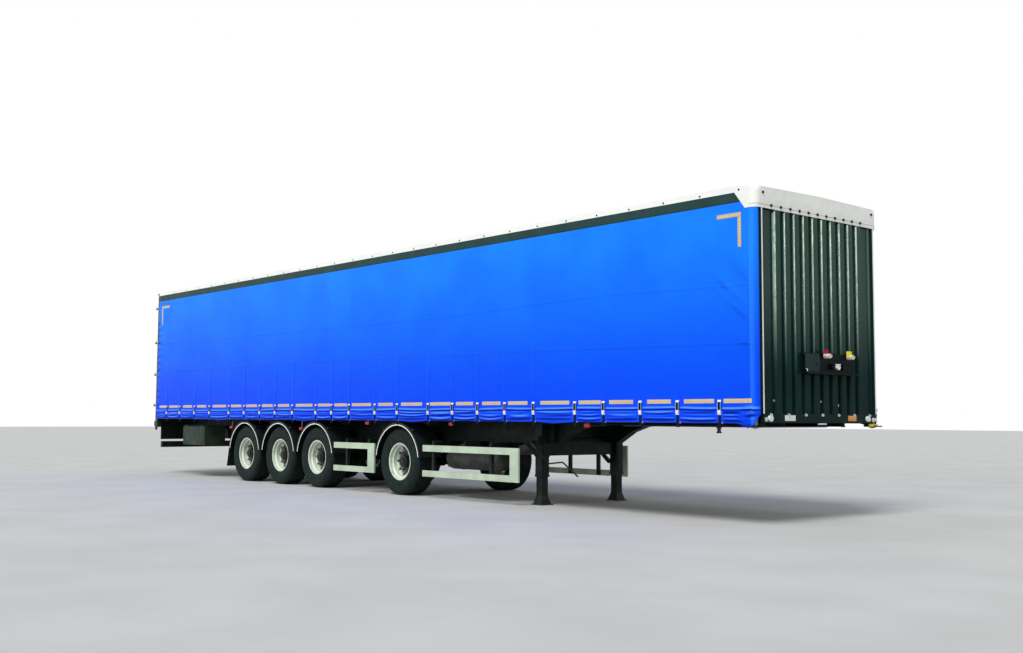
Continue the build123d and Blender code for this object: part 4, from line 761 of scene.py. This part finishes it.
# %% Where the cloth lies
FACE = 1.270
ROLL_STATION = 0.085
ROLL_RADIUS = 0.057
ROLL_Y = FACE - ROLL_RADIUS
CURTAIN_END = 16.335
CURTAIN_TOP = 3.785
SKIRT = 1.165
FOLD_TOP = 1.42
STRAP_STEP = 0.01629  # metres in one step of the strap table
STRAPS = STRAP_STEP * np.array((34, 74, 112, 152, 185, 236, 274, 312, 349, 387, 438, 477,
                                525, 559, 591, 641, 680, 716, 754, 793, 845, 887, 930, 970))
BAY_ENDS = np.concatenate(([0.14], STRAPS, [CURTAIN_END]))
FOLD_HEIGHTS = np.array((1.372, 1.318, 1.268, 1.208))
FOLD_MIDDLE, FOLD_SPREAD = 1.345, 0.72  # at a strap the folds are drawn together towards one height
FOLD_DEPTH = 0.024
WIDE_BAY = 0.80


def bump_at(distance, width):
    """A smooth bump, 1 at no distance."""
    return np.exp(-(distance / width) ** 2)


def step_at(value, low, high):
    """0 below low, 1 above high, smooth between."""
    share = np.clip((value - low) / (high - low), 0, 1)
    return share * share * (3 - 2 * share)


def bay_of(station):
    """Which bay between two straps a station lies in, and how far across it."""
    bay = np.clip(np.searchsorted(BAY_ENDS, station) - 1, 0, len(BAY_ENDS) - 2)
    share = (station - BAY_ENDS[bay]) / (BAY_ENDS[bay + 1] - BAY_ENDS[bay])
    return bay, np.clip(share, 0, 1)


def fold_table(seed):
    """Height of each fold at each strap, and its sag, width and depth in each bay."""
    draw = np.random.default_rng(seed)
    bays, folds = len(BAY_ENDS) - 1, len(FOLD_HEIGHTS)
    wide = np.diff(BAY_ENDS) > WIDE_BAY
    pinched = FOLD_MIDDLE + FOLD_SPREAD * (FOLD_HEIGHTS - FOLD_MIDDLE)
    return {
        "ends": pinched + draw.uniform(-0.007, 0.007, (bays + 1, folds)),
        "sag": draw.uniform(0.0, 1.0, (bays, folds)) * (0.006, 0.016, 0.024, 0.030),
        "width": draw.uniform(0.016, 0.024, (bays, folds)) * (0.7, 1, 1, 1),
        "depth": draw.uniform(0.45, 1.1, (bays, folds)),
        "hem": np.where(wide, draw.uniform(0.028, 0.036, bays), draw.uniform(0.001, 0.010, bays)),
    }


right_folds, left_folds = fold_table(11), fold_table(23)
print("folds drawn for", len(BAY_ENDS) - 1, "bays a side")

# %% [markdown]
# Two weld seams cross the whole sheet and wander a few centimetres up and down, so the rows of the
# grid follow them. The hem's height is a line of its own: it hangs in a shallow V in each wide bay,
# dips at the front corner and climbs steeply round the roll. Small folds fan out round the roll's foot.

# %% Seams, hem and distance from the frame
SEAM_STATIONS = (0.0, 2.5, 6.3, 10.2, 16.3)
# height, how far the seam wanders at the five stations
SEAMS = ((2.82, (-0.02, 0.04, -0.04, -0.02, 0.02)), (2.18, (-0.06, -0.02, 0.02, 0.04, 0.05)))
CORNER_RIDGE = 0.104
# height at the roll, rise per metre backwards, how far back it runs, depth
CORNER_CREASES = ((2.935, 1.20, 0.50, 0.028), (2.840, 1.05, 0.65, 0.022), (2.515, 0.86, 0.75, 0.028),
                  (2.410, 0.74, 0.70, 0.024), (2.100, 0.55, 0.45, 0.009), (1.700, -0.45, 0.40, 0.008))
HEM = 1.198
CORNER_DIP = 0.062
SCALLOP_PITCH, SCALLOP_DEPTH = 0.150, 0.0130
RIDGE_DEPTH = 0.0070
GATHER_Z, GATHER_RADIUS, GATHER_DEPTH = 1.36, 0.13, 0.0070


def strap_distance(station):
    """How far the nearest strap is."""
    return np.min(np.abs(station[..., None] - STRAPS), axis=-1)


def hem_folds(station, z, folds):
    """The folds low on the sheet, which die out under the straps."""
    bay, share = bay_of(station)
    span = np.sin(pi * share)
    total = np.zeros_like(z)
    for k in range(len(FOLD_HEIGHTS)):
        level = folds["ends"][bay, k] * (1 - share) + folds["ends"][bay + 1, k] * share
        level = level - folds["sag"][bay, k] * span
        depth = 1.0 if k == 0 else folds["depth"][bay, k] * (0.45 + 0.55 * span)
        total += depth * bump_at(z - level, folds["width"][bay, k])
    beside_strap = step_at(strap_distance(station), 0.024, 0.070)
    return FOLD_DEPTH * total * beside_strap * step_at(FOLD_TOP - z, 0, 0.02)


def cloth_offset(station, z, folds):
    """How far the cloth stands out from its flat face, in metres."""
    offset = hem_folds(station, z, folds)
    pocket = step_at(0.027 - strap_distance(station), 0, 0.006)
    offset += (0.0003 + 0.0016 * step_at(-z, -2.40, -2.05)) * pocket * step_at(z, 1.48, 1.52)
    for level, wander in SEAMS:
        offset += 0.0022 * bump_at(z - level - np.interp(station, SEAM_STATIONS, wander), 0.011)
    height = (z - SKIRT) / (CURTAIN_TOP - SKIRT)
    offset += 0.0030 * np.sin(station * 2.1 + 0.7 * np.sin(station * 0.9)) * np.sin(height * pi)
    offset += 0.0012 * np.sin(station * 11.0 + 2.0 * np.sin(station * 2.3)) * step_at(z, 3.35, 3.75)
    rear = np.exp(-(CURTAIN_END - station) / 0.12)
    scallops = SCALLOP_DEPTH * rear * np.sin(2 * pi * z / SCALLOP_PITCH)
    offset += scallops * step_at(-z, -3.45, -3.30) * step_at(z, 1.44, 1.5)
    ridge = RIDGE_DEPTH * bump_at(station - CORNER_RIDGE, 0.009)
    offset += ridge * step_at(z, 1.2, 1.5) * step_at(-z, -3.6, -3.3)
    for level, slope, reach, depth in CORNER_CREASES:
        along = step_at(station, 0.085, 0.16) * step_at(-station, -reach, -reach / 3)
        offset += depth * along * bump_at(z - level - slope * (station - ROLL_STATION), 0.034)
    turn = np.arctan2(z - GATHER_Z, station + 0.02)
    ring = bump_at(np.hypot(z - GATHER_Z, station - 0.02) - GATHER_RADIUS, 0.07)
    gathered = ring * step_at(-z, -1.44, -1.38)
    return offset + GATHER_DEPTH * gathered * np.sin(11 * turn)


def hem_height(station, folds):
    """Height of the skirt's lower edge."""
    bay, share = bay_of(station)
    sag = folds["hem"][bay] * (1 - np.abs(2 * share - 1)) ** 0.9
    return HEM - sag - CORNER_DIP * bump_at(station - 0.150, 0.085)


print("hem at mid bay 5", round(float(hem_height(np.array([3.42]), right_folds)[0]), 3), "m")

# %% [markdown]
# The grid has narrow rows low down, where the folds are, and a pair of columns at each edge of every
# strap pocket. Its first columns go round the roll. A second grid a cloth's thickness behind it and a
# rim close the sheet. A Solidify modifier could do that too, but it would round the sheet's edges off.

# %% The two sheets
WRAP_TURN = radians(265)
WRAP_STEPS = 18
CLOTH_THICKNESS = 0.0015
COLUMN_STEP = 0.055
CORNER_RISE = 0.125
ROLL_TOP = 3.715
ROLL_REACH = {-1: 1.33, 1: 1.0}  # the right curtain is wound more loosely

seam_rows = [level + d for level, _ in SEAMS for d in (-0.026, -0.013, 0.0, 0.013, 0.026)]
ROWS = np.unique(np.round(np.concatenate((
    np.linspace(SKIRT, FOLD_TOP, 33), (1.45, 1.478, 1.50), np.arange(1.5375, 3.42, SCALLOP_PITCH / 4),
    seam_rows, np.linspace(3.46, CURTAIN_TOP, 6))), 4))
strap_columns = (STRAPS[:, None] + (-0.055, -0.027, -0.021, 0.021, 0.027, 0.055)).ravel()
corner_columns = CORNER_RIDGE + np.array((-0.012, -0.006, -0.003, 0.0, 0.003, 0.006, 0.012))
COLUMNS = np.unique(np.round(np.concatenate((
    np.arange(ROLL_STATION, CURTAIN_END, COLUMN_STEP), [CURTAIN_END], strap_columns, corner_columns)), 4))


def settled_heights(station, z, folds, rise=0.0):
    """Row heights moved to follow the hem and the seams."""
    hem = hem_height(station, folds) - SKIRT + rise
    moved = z + hem * np.clip((FOLD_TOP - z) / (FOLD_TOP - SKIRT), 0, 1)
    for level, wander in SEAMS:
        moved += np.interp(station, SEAM_STATIONS, wander) * np.clip(1 - np.abs(z - level) / 0.30, 0, 1)
    return moved


def curtain_points(side, folds, stations=COLUMNS, heights=ROWS, proud=0.0):
    """Points of the cloth as rows and columns, or of a strip lying proud of it."""
    s, z = np.meshgrid(stations, heights)
    z = settled_heights(s, z, folds)
    y = FACE + cloth_offset(s, z, folds) + proud
    scallop = 0.006 * (0.5 + 0.5 * np.sin(2 * pi * z / SCALLOP_PITCH)) * step_at(-z, -3.45, -3.30)
    s = s - scallop * np.clip((s - CURTAIN_END + 0.05) / 0.05, 0, 1)
    return np.stack((WALL_X - s, side * y, z), axis=-1)


def wrapped_points(side, folds):
    """The columns that go round the front roll, from the inside to where the flat cloth starts."""
    a, z = np.meshgrid(np.linspace(WRAP_TURN, 0, WRAP_STEPS, endpoint=False), ROWS)
    start = np.full_like(z, ROLL_STATION)
    rise = CORNER_RISE * step_at(a, 0, pi / 2)
    z = settled_heights(start, z, folds, rise)
    radius = ROLL_RADIUS + cloth_offset(start, z, folds) * np.clip(1 - a / 2, 0, 1) - 0.0006 * a
    station = ROLL_STATION - radius * np.sin(a) * np.where(a < pi, ROLL_REACH[side], 1.0)
    y = ROLL_Y + radius * np.cos(a)
    z = SKIRT + (z - SKIRT) * (ROLL_TOP - SKIRT) / (CURTAIN_TOP - SKIRT)
    return np.stack((WALL_X - station, side * y, z), axis=-1)


def grid_faces(corner):
    """Four-sided faces between the rows and columns of a grid of point numbers."""
    around = (corner[:-1, :-1], corner[:-1, 1:], corner[1:, 1:], corner[1:, :-1])
    return np.stack(around, axis=-1).reshape(-1, 4)


def grid_mesh(name, grids, flip):
    """Mesh data from grids of rows and columns, flipped to face outwards on one side."""
    vertices, faces = [], []
    for points in grids:
        points = points[:, ::-1] if flip else points
        rows, columns = points.shape[:2]
        corner = len(vertices) + np.arange(rows * columns).reshape(rows, columns)
        vertices += points.reshape(-1, 3).tolist()
        faces += grid_faces(corner).tolist()
    data = bpy.data.meshes.new(name)
    data.from_pydata(vertices, [], faces)
    data.update()
    return data


def closed_sheet(name, points, flip):
    """Mesh data of a sheet with a real thickness and a rim."""
    points = points[:, ::-1] if flip else points
    outward = np.cross(np.gradient(points, axis=1), np.gradient(points, axis=0))
    outward /= np.linalg.norm(outward, axis=-1, keepdims=True)
    rows, columns = points.shape[:2]
    count = rows * columns
    corner = np.arange(count).reshape(rows, columns)
    quads = grid_faces(corner)
    edge = np.concatenate((corner[0, :-1], corner[:-1, -1], corner[-1, :0:-1], corner[:0:-1, 0]))
    after = np.roll(edge, -1)
    rim = np.stack((after, edge, edge + count, after + count), axis=-1)
    vertices = np.concatenate((points, points - CLOTH_THICKNESS * outward)).reshape(-1, 3)
    faces = np.concatenate((quads, quads[:, ::-1] + count, rim))
    data = bpy.data.meshes.new(name)
    data.from_pydata(vertices.tolist(), [], faces.tolist())
    data.update()
    return data


def curtain(side_name, side, folds):
    """One curtain, in place of the CAD's plain sheet and roll."""
    name = f"curtain_{side_name}"
    points = np.concatenate((wrapped_points(side, folds), curtain_points(side, folds)), axis=1)
    sheet = dress(name, closed_sheet(name, points, side < 0), curtain_cloth, sharp=70)
    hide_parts("side_curtains", "tension_rolls")
    return sheet


curtains = {name: curtain(name, side, folds)
            for (name, side), folds in zip(SIDES, (right_folds, left_folds))}
print("curtain", len(ROWS), "rows,", triangles(curtains["right"]), "triangles")

# %% [markdown]
# ## Tension poles
# The cloth is wound on an aluminium pole with a ratchet box at its foot. Only the pole's ends show.
# Rods are drawn before bevelled blocks, so that each run stores the mesh in the same order.

# %% Poles
POLE_FOOT, POLE_TOP = 1.176, 3.712
RATCHET_HALF = 0.034
poles = Pieces()
for _, side in SIDES:
    x, y = x_at(ROLL_STATION), side * ROLL_Y
    poles.rod((x, y, POLE_FOOT), (x, y, POLE_TOP), 0.036, 28)
    poles.rod((x, y, 1.130), (x, y, POLE_FOOT), 0.020, 20)
for _, side in SIDES:
    x, y = x_at(ROLL_STATION), side * ROLL_Y
    low, high = (x - RATCHET_HALF, y - RATCHET_HALF, 1.138), (x + RATCHET_HALF, y + RATCHET_HALF, 1.160)
    poles.block(low, high, 0.005)
poles.make("tension_poles", pole_metal, slot="pillar_alu")
print("two poles")

# %% [markdown]
# ## Reflecting tape
# Strips of tape lie between the straps, and an L marks each upper corner. They follow the cloth's own
# surface a hair's breadth proud of it, so they bend with its folds. Their ends were cut by eye on the
# real trailer, so each strip has its own two ends in the table.

# %% Tape on the curtains
TAPE_LOW, TAPE_HIGH = 1.428, 1.478
TAPE_PROUD = 0.0012
# first and last station of each strip
TAPE_ENDS = ((0.087, 0.495), (0.636, 1.103), (1.313, 1.709), (1.950, 2.373), (2.527, 2.944),
             (3.123, 3.704), (3.971, 4.392), (4.561, 4.979), (5.191, 5.603), (5.738, 6.255),
             (6.464, 7.028), (7.259, 7.682), (7.891, 8.469), (8.621, 9.020), (9.158, 9.557),
             (9.746, 10.321), (10.558, 10.969), (11.172, 11.577), (11.772, 12.208), (12.403, 12.830),
             (13.043, 13.627), (13.912, 14.336), (14.571, 14.997), (15.231, 15.687), (15.828, 16.172))
# first and last station, low and high edge of the two bars of each L
CORNER_MARKS = ((0.210, 0.568, 3.616, 3.666), (0.210, 0.260, 3.256, 3.612),
                (15.800, 16.175, 3.616, 3.666), (16.125, 16.175, 3.256, 3.612))


def tape_piece(side_name, side, folds):
    """All tape of one curtain."""
    bars = [(start, end, TAPE_LOW, TAPE_HIGH) for start, end in TAPE_ENDS] + list(CORNER_MARKS)
    grids = []
    for start, end, low, high in bars:
        inside = COLUMNS[(COLUMNS > start) & (COLUMNS < end)]
        level = ROWS[(ROWS > low) & (ROWS < high)]
        stations = np.concatenate(([start], inside, [end]))
        heights = np.concatenate(([low], level, [high]))
        grids.append(curtain_points(side, folds, stations, heights, TAPE_PROUD))
    name = f"tape_{side_name}"
    return dress(name, grid_mesh(name, grids, side < 0), gold_tape, sharp=70)


for (side_name, side), folds in zip(SIDES, (right_folds, left_folds)):
    tape = tape_piece(side_name, side, folds)

# %% [markdown]
# ## The roof sheet
# The roof is a coated sheet pulled over light cross bows. Its edges are turned down, and a stiffer cap
# closes the front. Between two bows its own weight lets it hang a little, and the cap's front puckers
# between its fixing knobs. A simulated sheet this tight would hardly move, so the plain sheet is sliced
# across at short steps and each slice is lowered or pushed out by a formula.

# %% How the roof sheet lies
BOW_START, BOW_PITCH, BOW_WIDTH, BAYS = 0.500, 0.800, 0.040, 19
TOP_Z, TOP_STATION = 3.94, 0.31  # what lies above and behind these is the top of the sheet
ROOF_SAG = 0.014
SAG_HALF, SAG_EASE = 1.20, 0.35
CAP_HALF, CAP_TOP = 1.15, 3.90
PUCKER = 0.0035


def hang(station, y, slack):
    """How far the top of the sheet hangs down between two bows."""
    bay, along = divmod(station - BOW_START - BOW_WIDTH, BOW_PITCH)
    if not 0 <= bay < BAYS:
        return 0.0
    along = min(max(along / (BOW_PITCH - BOW_WIDTH), 0.0), 1.0)
    inside = float(step_at(SAG_HALF - abs(y), 0.0, SAG_EASE))
    return ROOF_SAG * slack[int(bay)] * 4 * along * (1 - along) * inside


def pucker(y, z):
    """How far the cap's front stands out between its knobs."""
    wave = 0.5 + 0.5 * np.sin(38.0 * y + 9.0 * z)
    return PUCKER * wave * float(step_at(z, 3.72, 3.80)) * float(step_at(-z, -CAP_TOP, -3.84))


def roof_point(point, slack):
    """Where a point of the plain sheet comes to rest."""
    x, y, z = point
    station = WALL_X - x
    if z > TOP_Z and station > TOP_STATION:
        z -= hang(station, y, slack)
    elif station < 0.0 and abs(y) < CAP_HALF and z < CAP_TOP:
        x += pucker(y, z)
    return x, y, z


slack = np.random.default_rng(41).uniform(0.55, 1.25, BAYS)
print("slack of the bays from", round(min(slack), 2), "to", round(max(slack), 2))

# %% [markdown]
# The sheet is cut across every 95 mm and lengthwise every 100 mm, with six level cuts through the cap.
# Its edges stay where the CAD has them, so it still meets the rails and the two end frames.

# %% The roof sheet
SLICE_START, SLICE_STEP, SLICES = 0.42, 0.095, 168
CAP_LEVELS = (3.75, 3.78, 3.81, 3.84, 3.87, 3.90)


def sliced(data, cuts):
    """A copy of a mesh, cut through by planes given as a point and a direction."""
    mesh = bmesh.new()
    mesh.from_mesh(data)
    bmesh.ops.remove_doubles(mesh, verts=mesh.verts, dist=1e-5)
    for point, direction in cuts:
        bmesh.ops.bisect_plane(mesh, geom=mesh.verts[:] + mesh.edges[:] + mesh.faces[:], dist=1e-6,
                               plane_co=point, plane_no=direction)
    return mesh


roof_cuts = [((x_at(SLICE_START + SLICE_STEP * step), 0, 0), (1, 0, 0)) for step in range(SLICES)]
roof_cuts += [((0, y, 0), (0, 1, 0)) for y in np.linspace(-CAP_HALF, CAP_HALF, 24)]
roof_cuts += [((0, 0, z), (0, 0, 1)) for z in CAP_LEVELS]
roof_mesh = sliced(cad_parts["roof_cover"].data, roof_cuts)
roof_area = sum(face.calc_area() for face in roof_mesh.faces) / 2
for vertex in roof_mesh.verts:
    vertex.co = roof_point(vertex.co, slack)
for face in roof_mesh.faces:
    face.material_index = 0
roof_data = bpy.data.meshes.new("roof_sheet")
roof_mesh.to_mesh(roof_data)
roof_mesh.free()
roof_sheet = dress("roof_sheet", roof_data, roof_cloth, sharp=25)
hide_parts("roof_cover")
print("roof sheet", round(roof_area, 2), "square metres,", triangles(roof_sheet), "triangles")

# %% [markdown]
# ## Buckle edges and hem hooks
# Each buckle lever is a folded plate, and its two bright edges frame the dark slot. Beside each
# strap a small plated hook holds the hem to the edge rail.

# %% Buckle edges and hooks
BUCKLE_FACE = 1.284
BUCKLE_HALF = 0.0225
HOOK_AHEAD = 0.040
buckle_edges, hem_hooks = Pieces(), Pieces()
for _, side in SIDES:
    for station in STRAPS:
        for edge in (-BUCKLE_HALF, BUCKLE_HALF):
            near, far = sorted((side * (BUCKLE_FACE - 0.001), side * (BUCKLE_FACE + 0.0018)))
            x = x_at(station + edge)
            buckle_edges.block((x - 0.003, near, 1.312), (x + 0.003, far, 1.440))
        near, far = sorted((side * 1.262, side * 1.2765))
        x = x_at(station - HOOK_AHEAD)
        hem_hooks.block((x - 0.005, near, 1.186), (x + 0.005, far, 1.202), 0.002)
buckle_edges.make("buckle_edges", zinc)
hem_hooks.make("hem_hooks", zinc)
print("buckles", 2 * len(STRAPS))

# %% [markdown]
# ## Tyres
# The CAD tyre is a plain ring. The visible one is the same section turned with rings on the wall,
# four grooves round the tread, fine cuts across it and notches in its shoulders. All eight share one
# pattern.

# %% Tyre pattern
TYRE_STEPS = 216
TREAD_HALF = 0.146
GROOVES = (0.092, 0.031, -0.031, -0.092)
GROOVE_HALF = 0.0062
GROOVE_DEPTH = 0.012
CROWN_RADIUS, CROWN_FALL = 0.5358, 0.0016
NOTCH_DEPTH, CUT_DEPTH = 0.0055, 0.002
WHEEL_MID_Y = 1.0275
# radius and width from the bead to the shoulder, with two raised rings
WALL = ((0.2865, 0.153), (0.3003, 0.155), (0.3006, 0.168), (0.314, 0.172), (0.330, 0.177),
        (0.348, 0.1815), (0.351, 0.1845), (0.357, 0.1855), (0.360, 0.1845), (0.400, 0.1905),
        (0.425, 0.1920), (0.452, 0.1900), (0.470, 0.1865), (0.4725, 0.1885), (0.4790, 0.1880),
        (0.4815, 0.1840), (0.500, 0.1775), (0.506, 0.1755), (0.508, 0.1725), (0.520, 0.1640),
        (0.5285, 0.1560), (0.5330, 0.1500))


def tread():
    """Radius and width across the crown, with its grooves."""
    edges = [TREAD_HALF, 0.120]
    for groove in GROOVES:
        edges += [groove + d for d in (GROOVE_HALF + 0.001, GROOVE_HALF, -GROOVE_HALF, -GROOVE_HALF - 0.001)]
    edges += [-0.120, -TREAD_HALF]
    deep = [any(abs(y - groove) <= GROOVE_HALF + 1e-6 for groove in GROOVES) for y in edges]
    crown = [CROWN_RADIUS - CROWN_FALL * (y / TREAD_HALF) ** 2 for y in edges]
    return [(radius - GROOVE_DEPTH * d, y) for radius, y, d in zip(crown, edges, deep)]


def tyre_mesh(name, station, side):
    """Mesh data of one tyre, turned about its axle."""
    profile = np.array(list(WALL) + tread() + [(r, -y) for r, y in reversed(WALL)])
    radius, width = profile[:, :1], profile[:, 1:]
    step = np.arange(TYRE_STEPS + 1)[None, :]
    shoulder = (np.abs(width) > 0.105) & (np.abs(width) < 0.158) & (radius > 0.52)
    crown = (np.abs(width) < 0.10) & (radius > 0.53)
    reach = radius - NOTCH_DEPTH * shoulder * (step % 4 == 0) - CUT_DEPTH * crown * (step % 6 == 3)
    angle = 2 * pi * step / TYRE_STEPS
    across = side * WHEEL_MID_Y + width + 0 * reach
    ahead, level = x_at(station) + reach * np.cos(angle), WHEEL_Z + reach * np.sin(angle)
    data = grid_mesh(name, [np.stack((ahead, across, level), axis=-1)], False)
    work = bmesh.new()
    work.from_mesh(data)
    bmesh.ops.remove_doubles(work, verts=work.verts, dist=1e-5)
    bmesh.ops.recalc_face_normals(work, faces=work.faces)
    work.to_mesh(data)
    work.free()
    return data


for number, station in enumerate(AXLE_STATIONS, start=1):
    for side_name, side in SIDES:
        name = f"road_tyre_{side_name}_{number}"
        wheel = f"wheel_{side_name}_{number}"
        tyre = dress(name, tyre_mesh(name, station, side), tyre_rubber, wheel, 28)
        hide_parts(f"tyre_{side_name}_{number}")
print("tyre triangles", triangles(tyre))

# %% [markdown]
# ## Wheel nuts
# Ten nuts hold each disc, on a circle 335 mm across, and ten small bolts hold the hub cap. They turn
# with the wheel, so each wheel's set is its own piece.

# %% Nuts and hub bolts
NUTS = 10
NUT_CIRCLE, DISC_OUT = 0.1675, 0.007
HUB_CIRCLE, HUB_OUT = 0.080, 0.098


def wheel_nuts(side_name, side, number, station):
    """The nuts and hub bolts of one wheel."""
    nuts = Pieces()
    out = Vector((0, side, 0))
    for index in range(NUTS):
        a = 2 * pi * (index + 0.5) / NUTS
        spoke = Vector((cos(a), 0, sin(a)))
        face = Vector((x_at(station), side * (WHEEL_MID_Y + DISC_OUT), WHEEL_Z)) + spoke * NUT_CIRCLE
        nuts.bolt(face, out, 0.026, 0.026)
        nuts.rod(face, face + out * 0.040, 0.009, 12)
        cap = Vector((x_at(station), side * (WHEEL_MID_Y + HUB_OUT), WHEEL_Z)) + spoke * HUB_CIRCLE
        nuts.bolt(cap, out, 0.010, 0.009)
    wheel = f"{side_name}_{number}"
    return nuts.make(f"wheel_nuts_{wheel}", nut_metal, f"wheel_{wheel}", "rim_silver")


for number, station in enumerate(AXLE_STATIONS, start=1):
    for side_name, side in SIDES:
        nut_set = wheel_nuts(side_name, side, number, station)
print("nut triangles", triangles(nut_set))

# %% [markdown]
# ## Front wall fittings
# Seven plated bolts hold the bolster and two more the wall's foot, and small plated plates and a latch
# sit near them. Each is placed by its real height and width on the wall.

# %% Bolts on the front
BOLSTER_FACE = x_at(-0.010)
WALL_FLAT = x_at(0.040)
CAP_FACE = x_at(-0.004)
SILL = 1.292
BOLTS, BOLT_START, BOLT_PITCH = 7, -1.04, 0.340

front_bolts = Pieces()
for index in range(BOLTS):
    front_bolts.bolt((BOLSTER_FACE, BOLT_START + index * BOLT_PITCH, SILL), (1, 0, 0), 0.026, 0.018)
for y in (-0.916, 0.013):
    front_bolts.bolt((WALL_FLAT, y, 1.457), (1, 0, 0), 0.020, 0.014)
front_bolts.rod((8.238, -0.410, 1.846), (8.262, -0.410, 1.840), 0.006, 12)
front_bolts.rod((8.262, -0.410, 1.843), (8.262, -0.410, 1.815), 0.006, 12)
for _, side in SIDES:
    low, high = side * 1.135 - 0.025, side * 1.135 + 0.025
    front_bolts.block((BOLSTER_FACE - 0.001, low, 1.215), (BOLSTER_FACE + 0.012, high, 1.262), 0.004)
front_bolts.block((x_at(0.015), -0.093, 1.176), (x_at(-0.006), 0.074, 1.194), 0.003)
front_bolts.make("front_bolts", zinc)
print("bolster bolts", BOLTS)

# %% [markdown]
# ## Knobs, studs and corner tips
# Black knobs hold down the roof cap, flat studs run along the roof's two side edges, and a black tip
# closes each rear corner.

# %% Knobs, studs and tips
KNOBS, KNOB_START, KNOB_PITCH = 11, -0.979, 0.1853
STUDS, STUD_START, STUD_PITCH = 27, 0.236, 0.590

knobs = Pieces()
for index in range(KNOBS):
    knobs.dome((CAP_FACE, KNOB_START + index * KNOB_PITCH, 3.745), (1, 0, 0), 0.017, 0.020)
for _, side in SIDES:
    knobs.dome((CAP_FACE, side * 1.135, 3.886), (1, 0, 0), 0.016, 0.018)
knobs.make("cap_knobs", black_plastic)

studs = Pieces()
for _, side in SIDES:
    for index in range(STUDS):
        place = (x_at(STUD_START + index * STUD_PITCH), side * 1.2735, 3.932)
        studs.dome(place, (0, side, 0), 0.013, 0.006, 14)
studs.make("roof_studs", slate_paint)

corner_tips = Pieces()
for _, side in SIDES:
    near, far = sorted((side * 1.258, side * 1.281))
    corner_tips.block((x_at(16.382), near, 3.918), (x_at(16.338), far, 3.962), 0.004)
corner_tips.make("rear_corner_tips", black_plastic)
print("knobs", KNOBS + len(SIDES), "studs", STUDS * len(SIDES))

# %% [markdown]
# ## Plate, reflectors and plug
# A blank plate, two reflectors and a yellow stop sit on the bolster, and a plug closes a hole in the
# wall. The square ones come from a table of two corners and how proud each one stands.

# %% Plate, reflectors and plug
FRONT_PLATES = (("blank_front_plate", post_paint, (-0.771, 1.222), (-0.568, 1.288), 0.004),
                ("front_reflector", amber_lens, (0.525, 1.222), (0.694, 1.288), 0.010),
                ("yellow_stop", yellow_paint, (1.007, 1.152), (1.168, 1.186), 0.012))
for name, finish, (y_low, z_low), (y_high, z_high), proud in FRONT_PLATES:
    plate = Pieces()
    plate.block((BOLSTER_FACE - 0.020, y_low, z_low), (BOLSTER_FACE + proud, y_high, z_high), 0.0015)
    plate.make(name, finish)

grey_reflector = Pieces()
grey_reflector.dome((BOLSTER_FACE, 1.084, 1.235), (1, 0, 0), 0.030, 0.010, 28)
grey_reflector.make("grey_reflector", clear_lens)
plug = Pieces()
plug.dome((WALL_FLAT, 0.380, 1.413), (1, 0, 0), 0.018, 0.012, 24)
plug.make("wall_plug", post_paint)
print("plates", [row[0] for row in FRONT_PLATES])

# %% [markdown]
# ## The floor
# A plain pale floor catches the soft shadow. It is one large sheet with a faint mottled tone.

# %% Floor
FLOOR_HALF = 120.0
FLOOR_TONES = ((0.46, 0.46, 0.45), (0.50, 0.50, 0.49))
floor_data = bpy.data.meshes.new("floor")
corners = [(-1, -1), (1, -1), (1, 1), (-1, 1)]
floor_data.from_pydata([(FLOOR_HALF * x, FLOOR_HALF * y, 0) for x, y in corners], [], [(0, 1, 2, 3)])
floor = bpy.data.objects.new("floor", floor_data)
bpy.context.scene.collection.objects.link(floor)
floor_finish = Finish("floor_finish", 0.9, specular=0.1)
floor_finish.colour(floor_finish.mix(floor_finish.ramp(floor_finish.noise(0.8, 6.0), 0.3, 0.7), *FLOOR_TONES))
floor_data.materials.append(floor_finish.material)
print("floor", 2 * FLOOR_HALF, "m")
